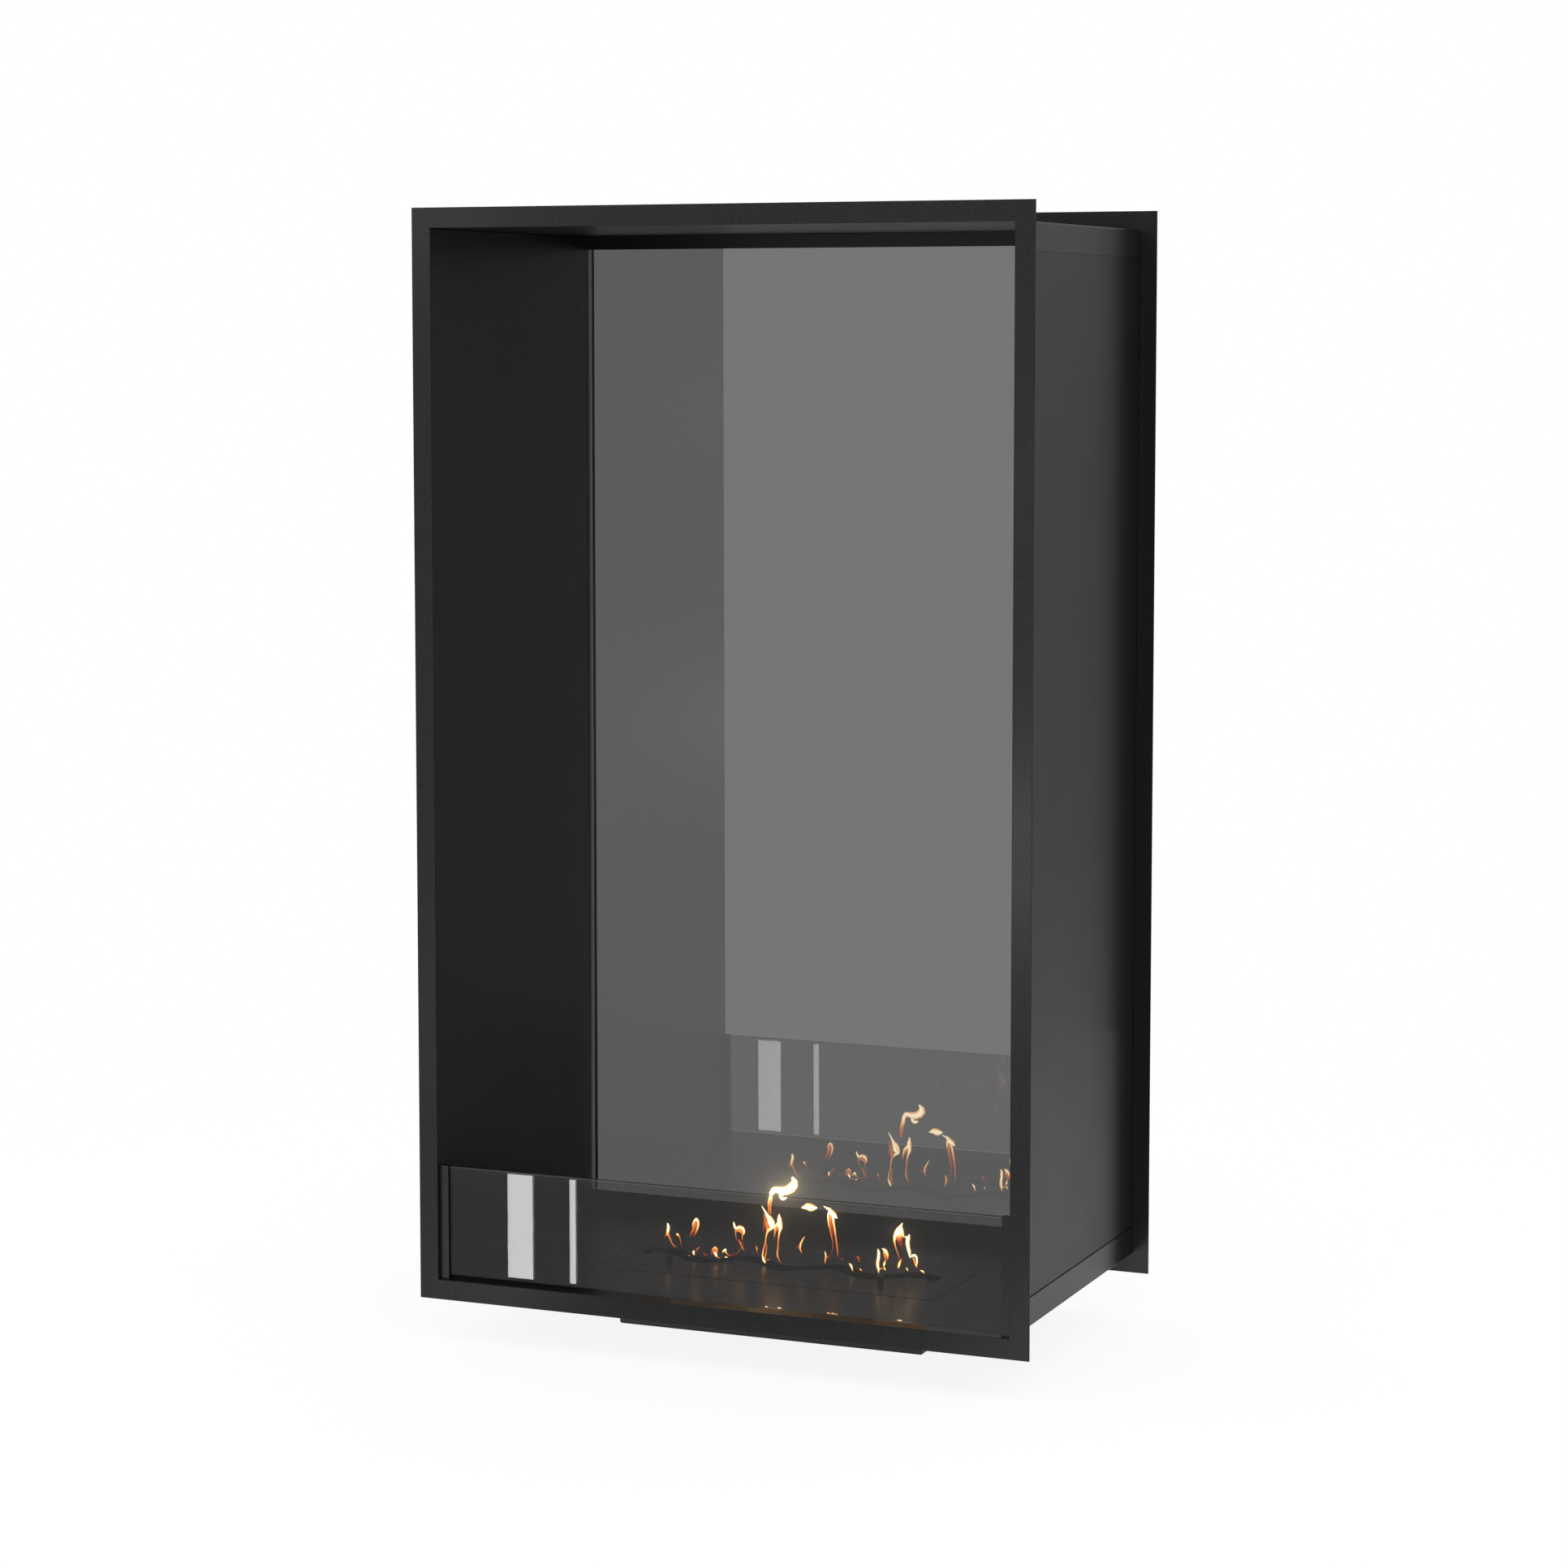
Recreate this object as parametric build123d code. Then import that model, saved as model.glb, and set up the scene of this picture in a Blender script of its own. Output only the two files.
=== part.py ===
"""See-through bioethanol fireplace insert: a steel case between two trim frames, with a manual burner.

Millimetres. X runs to the right seen from the front, Y into the depth and Z up. The origin is the
middle of the underside of the burner housing, the lowest face, which the insert stands on.
"""
import math
import os

from build123d import *

os.makedirs("parts", exist_ok=True)

# Case and frames
frame_width = 772.0         # outer edge to outer edge of a trim frame
frame_height = 1300.0
case_depth = 450.0          # front face of the front frame to rear face of the rear frame
flange_width = 24.0         # outer edge of a frame to its opening
frame_sheet = 2.0
frame_edge_round = 0.6      # broken outer edges of the frames
glass_edge_bevel = 0.4      # ground edges of both panes
seat_depth = 0.5            # rebate in the back of a frame that locates the case
seat_play = 0.3
case_sheet = 1.5            # cap, tray and side skins
liner_sheet = 1.2
cap_band = 33.0             # side lip of the top cap
tray_band = 34.0            # side lip of the base tray
skin_gap_low = 2.0          # shadow gap between tray lip and side skin
skin_gap_high = 0.6
skin_gap_ends = 1.2         # between a side skin and the frames

# Rear pane and its glazing
rear_glass_thickness = 5.0
rear_glass_inset = 20.1     # front of the pane to the rear face of the rear frame
rear_glass_side_gap = 2.5   # pane edge to liner
top_lip_height = 16.7       # seen below the ceiling
bottom_lip_height = 21.5    # seen above the floor
glazing_sheet = 1.5         # lips and beads
gasket_thickness = 1.0
gasket_height = 9.0
gasket_inset = 2.0          # gasket to the free edge of its lip
glass_block_height = 4.0
glass_block_length = 40.0
glass_block_end = 150.0     # middle of a block to the end of the pane
bead_end_gap = 1.0          # beads and lips to the liners
bead_screw_count = 4
bead_screw_end = 61.0       # from the ends of a bead

# Low guard glass and its channels
guard_thickness = 4.0
guard_height = 132.0
guard_raise = 5.5           # air gap below the guard glass
guard_centre = 10.0         # behind the front face of the front frame
channel_sheet = 1.5
channel_width = 11.5        # along X, from the liner
channel_over = 0.5          # channel above the top of the guard glass
guard_play_y = 0.5          # each side of the glass in its channel
guard_play_x = 1.0
pad_length = 7.0
rivet_head_diameter = 4.6
rivet_head_depth = 1.0
rivet_diameter = 2.4
rivet_end_distance = 24.0   # from the ends of a channel

# Burner: trim plate, slot and sliding cover
recess_half_width = 193.0
plate_end_margin = 30.5     # recess to the ends of the trim plate
burner_depth = 185.0
plate_front_rail = 25.7     # recess to the front edge of the trim plate
plate_back_rail = 78.0      # middle line of the plate's wave to its rear edge
burner_sheet = 2.0
burner_gap = 1.0            # trim plate to the cut-out in the tray
corner_round = 1.5
slot_width = 27.8           # open slot between cover and plate, along Y
half_wave_count = 7         # crests and troughs along the slot
wave_amplitude = 14.5
wave_slope = 38.0           # degrees, on the straights between the crests
wave_lead = 5.0             # straight run past the ends of the recess
wave_end_round = 0.05       # where the wave meets that run
slider_play = 1.0           # all round the cover in its recess
slot_overhang = 1.0         # cover over the front edge of the bed's slot
slot_ledge = 2.0            # bed in front of the plate's wave
slot_end_ledge = 4.0        # bed beyond the ends of its slot
knob_end = 55.5             # knob to the end of the recess
knob_from_front = 20.3      # knob to the front edge of the recess
knob_diameter = 8.0
knob_height = 11.5
knob_edge_round = 0.8
knob_screw_diameter = 3.0
knob_screw_head = 5.6
knob_screw_head_depth = 1.4
knob_screw_length = 8.0

# Burner: bed, tank and filling
bed_sheet = 1.5
bed_play = 3.0              # bed to the ring round it
tank_depth = 118.0
tank_wall_cover = 0.8       # slot end to the inside of the tank
tank_raise = 8.5            # tank to the floor of the housing
tank_sheet = 1.2
tank_round = 4.0
wool_play = 0.5
wool_below_bed = 16.8
screen_sheet = 1.0
screen_hole = 7.0
screen_pitch = 14.0
screen_rim = 8.0

# Housing below the floor and the ring that carries it
housing_gap = 5.0           # tank to the walls of the housing
housing_drop = 75.0         # floor surface to the underside of the housing
housing_sheet = 1.5
housing_round = 3.0
ring_sheet = 2.0
ring_outside = 12.0         # beyond the cut-out in the tray
ring_ledge = 14.0           # under the edge of the trim plate
screw_diameter = 4.0
screw_hole_play = 0.3
screw_thread_play = 0.05
screw_head_diameter = 8.0
screw_head_height = 2.4
screw_head_round = 0.7
housing_screw_count = 4     # along each long side
housing_screw_end = 44.5    # from the ends of the flange
screw_clearance = 0.2       # screw tip to the face above it

# Help with cutting and picking
cut_margin = 1.0            # how far a cut runs past the faces it opens
same_level = 0.01           # closer than this, two heights are the same
bottom_round_less = 0.2     # bottom edges of a box of sheet, less than its upright ones

# Levels and faces worked out from the sizes above
floor_z = housing_drop
frame_bottom = floor_z - flange_width
frame_top = frame_bottom + frame_height
ceiling_z = frame_top - flange_width
half_opening = frame_width / 2 - flange_width
liner_outer = half_opening + liner_sheet
bend_radius = liner_sheet   # inside radius of the folded cap and tray, no larger than the liner hides
skin_outer = liner_outer + case_sheet
front_face = -case_depth / 2
case_front = front_face + frame_sheet - seat_depth
case_rear = -case_front
tray_bottom = floor_z - case_sheet
cap_top = ceiling_z + case_sheet
tray_lip_top = tray_bottom + tray_band
cap_lip_bottom = cap_top - cap_band

pane_front = -front_face - rear_glass_inset
pane_back = pane_front + rear_glass_thickness
lip_front = pane_front - gasket_thickness - glazing_sheet
bead_front = pane_back + gasket_thickness
glazing_half = half_opening - bead_end_gap
pane_half = half_opening - rear_glass_side_gap
pane_bottom = floor_z + glazing_sheet + glass_block_height
pane_top = ceiling_z - glazing_sheet - glass_block_height
bead_screw_y = (bead_front + glazing_sheet + case_rear) / 2
screw_hole = screw_diameter + screw_hole_play
screw_tap = screw_diameter + screw_thread_play

guard_y = front_face + guard_centre
channel_gap = guard_thickness + 2 * guard_play_y
channel_half_y = channel_gap / 2 + channel_sheet
guard_half = half_opening - channel_sheet - guard_play_x
guard_bottom = floor_z + guard_raise
channel_top = guard_bottom + guard_height + channel_over

plate_top = floor_z - case_sheet + burner_sheet
bed_top = plate_top - burner_sheet
bed_bottom = bed_top - bed_sheet
ring_top = tray_bottom
ring_bottom = ring_top - ring_sheet
flange_bottom = ring_bottom - housing_sheet
burner_width = 2 * (recess_half_width + plate_end_margin)
recess_front = burner_depth / 2 - plate_front_rail
slot_back = burner_depth / 2 - plate_back_rail
slot_half_width = recess_half_width - slot_end_ledge
cutout_width = burner_width + 2 * burner_gap
cutout_depth = burner_depth + 2 * burner_gap
ring_inner_width = burner_width - 2 * ring_ledge
ring_inner_depth = burner_depth - 2 * ring_ledge
slider_back = slot_back - slot_width
slider_front = slider_play - recess_front
tank_width = 2 * (slot_half_width + tank_wall_cover + tank_sheet)
tank_bottom = housing_sheet + tank_raise
wool_bottom = tank_bottom + tank_sheet
wool_top = bed_bottom - wool_below_bed
housing_width = tank_width + 2 * (housing_gap + housing_sheet)
housing_depth = tank_depth + 2 * (housing_gap + housing_sheet)


def cut_range(first, last):
    """Both ends of a cut that runs past the faces at first and last."""
    low, high = sorted((first, last))
    return low - cut_margin, high + cut_margin


def block(x_low, x_high, y_low, y_high, z_low, z_high):
    """A straight block between two corners."""
    solid = Box(x_high - x_low, y_high - y_low, z_high - z_low, align=(Align.MIN,) * 3)
    return Pos(x_low, y_low, z_low) * solid


def plate_with_corners(width, depth, radius, z_low, z_high):
    """A flat plate about the Z axis with rounded corners."""
    outline = RectangleRounded(width, depth, radius)
    return Pos(0, 0, z_low) * extrude(outline, z_high - z_low)


def mirrored(piece):
    """The same piece on the other side of the middle plane."""
    return mirror(piece, about=Plane.YZ)


def round_edges_along(solid, axis, radius, chosen):
    """Rounds the edges parallel to an axis whose middles pass the test."""
    edges = [edge for edge in solid.edges().filter_by(axis) if chosen(edge.center())]
    return fillet(edges, radius)


# Frames and case

def trim_frame(face_y, inward):
    """A flat picture frame of sheet; inward is +1 when its back is towards +Y."""
    half_width = frame_width / 2
    y_low, y_high = sorted((face_y, face_y + inward * frame_sheet))
    solid = block(-half_width, half_width, y_low, y_high, frame_bottom, frame_top)
    solid -= block(-half_opening, half_opening, *cut_range(y_low, y_high), floor_z, ceiling_z)
    outside = solid.faces().sort_by(Axis.Y)[0 if inward > 0 else -1]
    solid = fillet(outside.edges(), frame_edge_round)
    back_y = face_y + inward * frame_sheet
    seat_half = skin_outer + seat_play
    seat_y = sorted((back_y - inward * seat_depth, back_y + inward * cut_margin))
    return solid - block(
        -seat_half, seat_half, *seat_y, tray_bottom - seat_play, cap_top + seat_play
    )


def folded_tray(sheet_low, sheet_high, lip_end):
    """A sheet with a lip folded along both sides, towards lip_end."""
    lip_up = lip_end > sheet_high
    low, high = (sheet_low, lip_end) if lip_up else (lip_end, sheet_high)
    outer = block(-skin_outer, skin_outer, case_front, case_rear, low, high)
    inner_low = sheet_high if lip_up else low - cut_margin
    inner_high = high + cut_margin if lip_up else sheet_low
    inner = block(-liner_outer, liner_outer, *cut_range(case_front, case_rear), inner_low, inner_high)
    fold_outer = sheet_low if lip_up else sheet_high
    fold_inner = sheet_high if lip_up else sheet_low
    outer = round_edges_along(
        outer, Axis.Y, bend_radius + case_sheet, lambda point: abs(point.Z - fold_outer) < same_level
    )
    inner = round_edges_along(
        inner, Axis.Y, bend_radius, lambda point: abs(point.Z - fold_inner) < same_level
    )
    return outer - inner


def evenly_spaced(count, half_length, end_distance):
    """Places of count screws along X, the outer ones at end_distance from the ends."""
    pitch = 2 * (half_length - end_distance) / (count - 1)
    return [end_distance - half_length + n * pitch for n in range(count)]


def bead_screw_places():
    """X positions of the screws along a glazing bead."""
    return evenly_spaced(bead_screw_count, glazing_half, bead_screw_end)


def upright_bore(x, y, z_low, z_high, diameter):
    """A cylinder along Z, used as a hole or a shank."""
    solid = Cylinder(diameter / 2, z_high - z_low, align=(Align.CENTER, Align.CENTER, Align.MIN))
    return Pos(x, y, z_low) * solid


def base_tray():
    """Floor of the firebox, with the cut-out for the burner."""
    tray = folded_tray(tray_bottom, floor_z, tray_lip_top)
    through = cut_range(tray_bottom, floor_z)
    tray -= plate_with_corners(cutout_width, cutout_depth, corner_round + burner_gap, *through)
    for x in bead_screw_places():
        tray -= upright_bore(x, bead_screw_y, *through, screw_tap)
    return tray


def top_cap():
    """Ceiling of the firebox."""
    cap = folded_tray(ceiling_z, cap_top, cap_lip_bottom)
    for x in bead_screw_places():
        cap -= upright_bore(x, bead_screw_y, *cut_range(ceiling_z, cap_top), screw_tap)
    return cap


def channel_rivet_heights():
    """Heights of the two rivets in a guard glass channel."""
    return [floor_z + rivet_end_distance, channel_top - rivet_end_distance]


def crosswise_bore(x_low, x_high, y, z, diameter):
    """A cylinder along X."""
    solid = Cylinder(diameter / 2, x_high - x_low, align=(Align.CENTER, Align.CENTER, Align.MIN))
    return Pos(x_low, y, z) * Rot(0, 90, 0) * solid


def right_liner():
    """Inner side wall, standing inside the folds of tray and cap."""
    wall = block(
        half_opening, liner_outer, case_front, case_rear, floor_z + bend_radius, ceiling_z - bend_radius
    )
    for z in channel_rivet_heights():
        wall -= crosswise_bore(*cut_range(half_opening, liner_outer), guard_y, z, rivet_diameter)
    return wall


def right_skin():
    """Outer side sheet between the two folded lips."""
    end_y = case_rear - seat_depth - skin_gap_ends
    return block(
        liner_outer,
        skin_outer,
        -end_y,
        end_y,
        tray_lip_top + skin_gap_low,
        cap_lip_bottom - skin_gap_high,
    )


# Rear glazing

def glazing_angle(leg_front, foot_back, seat_z, upward, leg_height):
    """An L-shaped strip: a leg beside the pane and a foot on the floor or the ceiling."""
    foot_z = seat_z + upward * glazing_sheet
    leg_z = seat_z + upward * leg_height
    foot = block(-glazing_half, glazing_half, leg_front, foot_back, *sorted((seat_z, foot_z)))
    leg = block(
        -glazing_half, glazing_half, leg_front, leg_front + glazing_sheet, *sorted((seat_z, leg_z))
    )
    angle = foot + leg
    for x in bead_screw_places():
        angle -= upright_bore(x, bead_screw_y, *cut_range(seat_z, foot_z), screw_hole)
    return angle


def rear_lip(seat_z, upward, height):
    """Lip in front of the pane, with its foot under the pane and the bead."""
    return glazing_angle(lip_front, case_rear, seat_z, upward, height)


def rear_bead(seat_z, upward, height):
    """Removable bead behind the pane, screwed down through the foot of the lip."""
    seat = seat_z + upward * glazing_sheet
    return glazing_angle(bead_front, case_rear, seat, upward, height - glazing_sheet)


def pan_head_screw(x, y, seat_z, tip_z, head_diameter, head_height, shank_diameter):
    """A screw along Z whose rounded head lies on seat_z and whose shank ends at tip_z."""
    upward = 1 if tip_z > seat_z else -1
    head_end = seat_z - upward * head_height
    low, high = sorted((seat_z, head_end))
    head = upright_bore(x, y, low, high, head_diameter)
    rim = [edge for edge in head.edges() if abs(edge.center().Z - head_end) < same_level]
    head = fillet(rim, screw_head_round)
    return head + upright_bore(x, y, *sorted((seat_z, tip_z)), shank_diameter)


def bead_screws():
    """Screws of both beads, heads towards the pane's recess."""
    screws = []
    for x in bead_screw_places():
        low_seat = floor_z + 2 * glazing_sheet
        high_seat = ceiling_z - 2 * glazing_sheet
        head = (screw_head_diameter, screw_head_height, screw_diameter)
        screws.append(pan_head_screw(x, bead_screw_y, low_seat, tray_bottom, *head))
        screws.append(pan_head_screw(x, bead_screw_y, high_seat, cap_top, *head))
    return Compound(children=screws)


def rear_glass():
    """The tall fixed pane with ground edges."""
    pane = block(-pane_half, pane_half, pane_front, pane_back, pane_bottom, pane_top)
    return chamfer(pane.edges().filter_by(Axis.Z), glass_edge_bevel)


def rear_glass_gaskets():
    """Four flat seals between the pane and its lips and beads."""
    strips = []
    for seat_z, upward, height in (
        (floor_z, 1, bottom_lip_height),
        (ceiling_z, -1, top_lip_height),
    ):
        free_end = seat_z + upward * (height - gasket_inset)
        near_end = free_end - upward * gasket_height
        for y_low in (pane_front - gasket_thickness, pane_back):
            strips.append(
                block(
                    -pane_half,
                    pane_half,
                    y_low,
                    y_low + gasket_thickness,
                    *sorted((near_end, free_end)),
                )
            )
    return Compound(children=strips)


def rear_glass_blocks():
    """Setting blocks that carry the pane on the foot of the lower lip."""
    seat = floor_z + glazing_sheet
    blocks = []
    for side in (-1, 1):
        middle = side * (pane_half - glass_block_end)
        blocks.append(
            block(
                middle - glass_block_length / 2,
                middle + glass_block_length / 2,
                pane_front,
                pane_back,
                seat,
                pane_bottom,
            )
        )
    return Compound(children=blocks)


# Guard glass

def countersunk_rivet(z):
    """A rivet along X, its head flush with the web of the channel."""
    web_inner = half_opening - channel_sheet
    head = Cone(
        rivet_head_diameter / 2,
        rivet_diameter / 2,
        rivet_head_depth,
        align=(Align.CENTER, Align.CENTER, Align.MIN),
    )
    head = Pos(web_inner, guard_y, z) * Rot(0, 90, 0) * head
    return head + crosswise_bore(web_inner, liner_outer, guard_y, z, rivet_diameter)


def channel_rivets():
    """Two rivets in each channel of the guard glass."""
    right = [countersunk_rivet(z) for z in channel_rivet_heights()]
    left = [mirrored(rivet) for rivet in right]
    return Compound(children=right + left)


def right_glass_channel():
    """U-shaped upright, open towards the middle and at the top."""
    inner_end = half_opening - channel_width
    channel = block(
        inner_end, half_opening, guard_y - channel_half_y, guard_y + channel_half_y, floor_z, channel_top
    )
    channel -= block(
        inner_end - cut_margin,
        half_opening - channel_sheet,
        guard_y - channel_gap / 2,
        guard_y + channel_gap / 2,
        *cut_range(floor_z, channel_top),
    )
    for z in channel_rivet_heights():
        channel -= countersunk_rivet(z)
    return channel


def guard_glass_pads():
    """Two pads in the feet of the channels, which the guard glass stands on."""
    outer_end = half_opening - channel_sheet
    right = block(
        outer_end - pad_length,
        outer_end,
        guard_y - guard_thickness / 2,
        guard_y + guard_thickness / 2,
        floor_z,
        guard_bottom,
    )
    return Compound(children=[right, mirrored(right)])


def guard_glass():
    """The low loose pane with ground edges."""
    pane = block(
        -guard_half,
        guard_half,
        guard_y - guard_thickness / 2,
        guard_y + guard_thickness / 2,
        guard_bottom,
        guard_bottom + guard_height,
    )
    return chamfer(pane.edges().filter_by(Axis.X), glass_edge_bevel)


# Burner

def wave_outline(middle):
    """Points and radii of the wavy edge about Y = middle, with a straight run at each end."""
    quarter = recess_half_width / half_wave_count
    slope = math.radians(wave_slope)
    apex = quarter * math.tan(slope)
    radius = (apex - wave_amplitude) / (1 / math.cos(slope) - 1)
    points = [(-recess_half_width - wave_lead, middle), (-recess_half_width, middle)]
    for n in range(half_wave_count):
        side = 1 if n % 2 == 0 else -1
        points.append((-recess_half_width + (2 * n + 1) * quarter, middle + side * apex))
    points += [(recess_half_width, middle), (recess_half_width + wave_lead, middle)]
    radii = [wave_end_round] + [radius] * half_wave_count + [wave_end_round]
    return points, radii


def area_before_wave(middle, half_width, front):
    """Flat face from Y = front to the wavy edge, cut off at X = half_width."""
    points, radii = wave_outline(middle)
    edge = FilletPolyline(*points, radius=radii)
    first, last = points[0], points[-1]
    rest = Polyline(last, (last[0], front), (first[0], front), first)
    area = make_face(edge.edges() + rest.edges())
    window = Rectangle(2 * half_width, 2 * burner_depth)
    return area & window


def slab(area, z_low, z_high):
    """A flat face made into sheet."""
    return Pos(0, 0, z_low) * extrude(area, z_high - z_low, dir=(0, 0, 1))


def burner_plate():
    """Trim plate flush with the floor, with the recess of the sliding cover."""
    plate = plate_with_corners(burner_width, burner_depth, corner_round, bed_top, plate_top)
    recess = area_before_wave(slot_back, recess_half_width, -recess_front)
    return plate - slab(recess, *cut_range(bed_top, plate_top))


def slot_opening():
    """Outline of the slot through the bed."""
    back = area_before_wave(slot_back - slot_ledge, slot_half_width, -recess_front)
    front = area_before_wave(slider_back - slot_overhang, slot_half_width, -recess_front)
    return back - front


def bed_plate():
    """Plate under the cover, with the wavy slot over the tank."""
    width = ring_inner_width - 2 * bed_play
    depth = ring_inner_depth - 2 * bed_play
    plate = plate_with_corners(width, depth, corner_round, bed_bottom, bed_top)
    return plate - slab(slot_opening(), *cut_range(bed_bottom, bed_top))


def open_box(width, depth, wall, radius, z_low, z_high):
    """A box of sheet, open at the top, with rounded upright and bottom edges."""
    outer = plate_with_corners(width, depth, radius, z_low, z_high)
    outer = fillet(outer.faces().sort_by(Axis.Z)[0].edges(), radius - bottom_round_less)
    inner_radius = radius - wall
    inner = plate_with_corners(
        width - 2 * wall, depth - 2 * wall, inner_radius, z_low + wall, z_high + cut_margin
    )
    inner = fillet(inner.faces().sort_by(Axis.Z)[0].edges(), inner_radius - bottom_round_less)
    return outer - inner


def fuel_tank():
    """Tank welded to the underside of the bed."""
    return open_box(tank_width, tank_depth, tank_sheet, tank_round, tank_bottom, bed_bottom)


def ceramic_wool():
    """Fibre block that soaks up the fuel."""
    width = tank_width - 2 * (tank_sheet + wool_play)
    depth = tank_depth - 2 * (tank_sheet + wool_play)
    wool = plate_with_corners(width, depth, tank_round, wool_bottom, wool_top)
    return chamfer(wool.faces().sort_by(Axis.Z)[0].edges(), tank_round)


def wool_screen():
    """Perforated sheet lying on the wool."""
    width = tank_width - 2 * (tank_sheet + wool_play)
    depth = tank_depth - 2 * (tank_sheet + wool_play)
    screen_top = wool_top + screen_sheet
    sheet = plate_with_corners(width, depth, tank_round, wool_top, screen_top)
    columns = int((width - 2 * screen_rim - screen_hole) / screen_pitch) + 1
    rows = int((depth - 2 * screen_rim - screen_hole) / screen_pitch) + 1
    holes = GridLocations(screen_pitch, screen_pitch, columns, rows) * Circle(screen_hole / 2)
    return sheet - slab(Sketch() + holes, *cut_range(wool_top, screen_top))


def knob_places():
    """X and Y of the two knobs."""
    y = knob_from_front - recess_front
    return [(side * (recess_half_width - knob_end), y) for side in (-1, 1)]


def countersunk_screw(x, y):
    """Screw from below through the cover into a knob."""
    head = Cone(
        knob_screw_head / 2,
        knob_screw_diameter / 2,
        knob_screw_head_depth,
        align=(Align.CENTER, Align.CENTER, Align.MIN),
    )
    head = Pos(x, y, bed_top) * head
    return head + upright_bore(x, y, bed_top, bed_top + knob_screw_length, knob_screw_diameter)


def knob_screws():
    """The two countersunk screws."""
    return Compound(children=[countersunk_screw(*place) for place in knob_places()])


def slider_plate():
    """Sliding cover with the wavy rear edge, open position."""
    area = area_before_wave(slider_back, recess_half_width - slider_play, slider_front)
    plate = slab(area, bed_top, plate_top)
    for place in knob_places():
        plate -= countersunk_screw(*place)
    return plate


def knob(x, y):
    """Short round post with a broken top edge and a threaded hole."""
    post = upright_bore(x, y, plate_top, plate_top + knob_height, knob_diameter)
    post = fillet(post.faces().sort_by(Axis.Z)[-1].edges(), knob_edge_round)
    return post - countersunk_screw(x, y)


# Support below the floor

def housing_screw_places():
    """X and Y of the screws that hold the housing to its ring."""
    row_y = (ring_inner_depth + cutout_depth) / 4
    columns = evenly_spaced(housing_screw_count, cutout_width / 2, housing_screw_end)
    return [(x, side * row_y) for x in columns for side in (-1, 1)]


def burner_support_ring():
    """Flat ring welded under the floor, whose inner edge is the seat of the burner."""
    width = cutout_width + 2 * ring_outside
    depth = cutout_depth + 2 * ring_outside
    ring = plate_with_corners(width, depth, corner_round, ring_bottom, ring_top)
    through = cut_range(ring_bottom, ring_top)
    ring -= plate_with_corners(ring_inner_width, ring_inner_depth, corner_round, *through)
    for x, y in housing_screw_places():
        ring -= upright_bore(x, y, *through, screw_tap)
    return ring


def burner_housing():
    """Protective box round the tank, hung from the ring by its flange."""
    box = open_box(housing_width, housing_depth, housing_sheet, housing_round, 0, ring_bottom)
    flange = plate_with_corners(cutout_width, cutout_depth, corner_round, flange_bottom, ring_bottom)
    through = cut_range(flange_bottom, ring_bottom)
    flange -= plate_with_corners(
        housing_width - 2 * housing_sheet,
        housing_depth - 2 * housing_sheet,
        housing_round - housing_sheet,
        *through,
    )
    housing = box + flange
    for x, y in housing_screw_places():
        housing -= upright_bore(x, y, *through, screw_hole)
    return housing


def housing_screws():
    """Screws from below through the flange into the ring."""
    tip = ring_top - screw_clearance
    head = (screw_head_diameter, screw_head_height, screw_diameter)
    screws = [pan_head_screw(x, y, flange_bottom, tip, *head) for x, y in housing_screw_places()]
    return Compound(children=screws)


knob_left_place, knob_right_place = knob_places()
nodes = {
    "front_frame": trim_frame(front_face, 1),
    "rear_frame": trim_frame(-front_face, -1),
    "base_tray": base_tray(),
    "top_cap": top_cap(),
    "right_liner": right_liner(),
    "left_liner": mirrored(right_liner()),
    "right_skin": right_skin(),
    "left_skin": mirrored(right_skin()),
    "rear_bottom_lip": rear_lip(floor_z, 1, bottom_lip_height),
    "rear_top_lip": rear_lip(ceiling_z, -1, top_lip_height),
    "rear_bottom_bead": rear_bead(floor_z, 1, bottom_lip_height),
    "rear_top_bead": rear_bead(ceiling_z, -1, top_lip_height),
    "bead_screws": bead_screws(),
    "rear_glass": rear_glass(),
    "rear_glass_gaskets": rear_glass_gaskets(),
    "rear_glass_blocks": rear_glass_blocks(),
    "right_glass_channel": right_glass_channel(),
    "left_glass_channel": mirrored(right_glass_channel()),
    "channel_rivets": channel_rivets(),
    "guard_glass_pads": guard_glass_pads(),
    "guard_glass": guard_glass(),
    "burner_plate": burner_plate(),
    "bed_plate": bed_plate(),
    "fuel_tank": fuel_tank(),
    "ceramic_wool": ceramic_wool(),
    "wool_screen": wool_screen(),
    "slider_plate": slider_plate(),
    "left_knob": knob(*knob_left_place),
    "right_knob": knob(*knob_right_place),
    "knob_screws": knob_screws(),
    "burner_support_ring": burner_support_ring(),
    "burner_housing": burner_housing(),
    "housing_screws": housing_screws(),
}
for node_name, piece in nodes.items():
    export_step(piece, f"parts/{node_name}.step")
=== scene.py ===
import math

import bpy
from mathutils import Matrix, Vector


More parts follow.
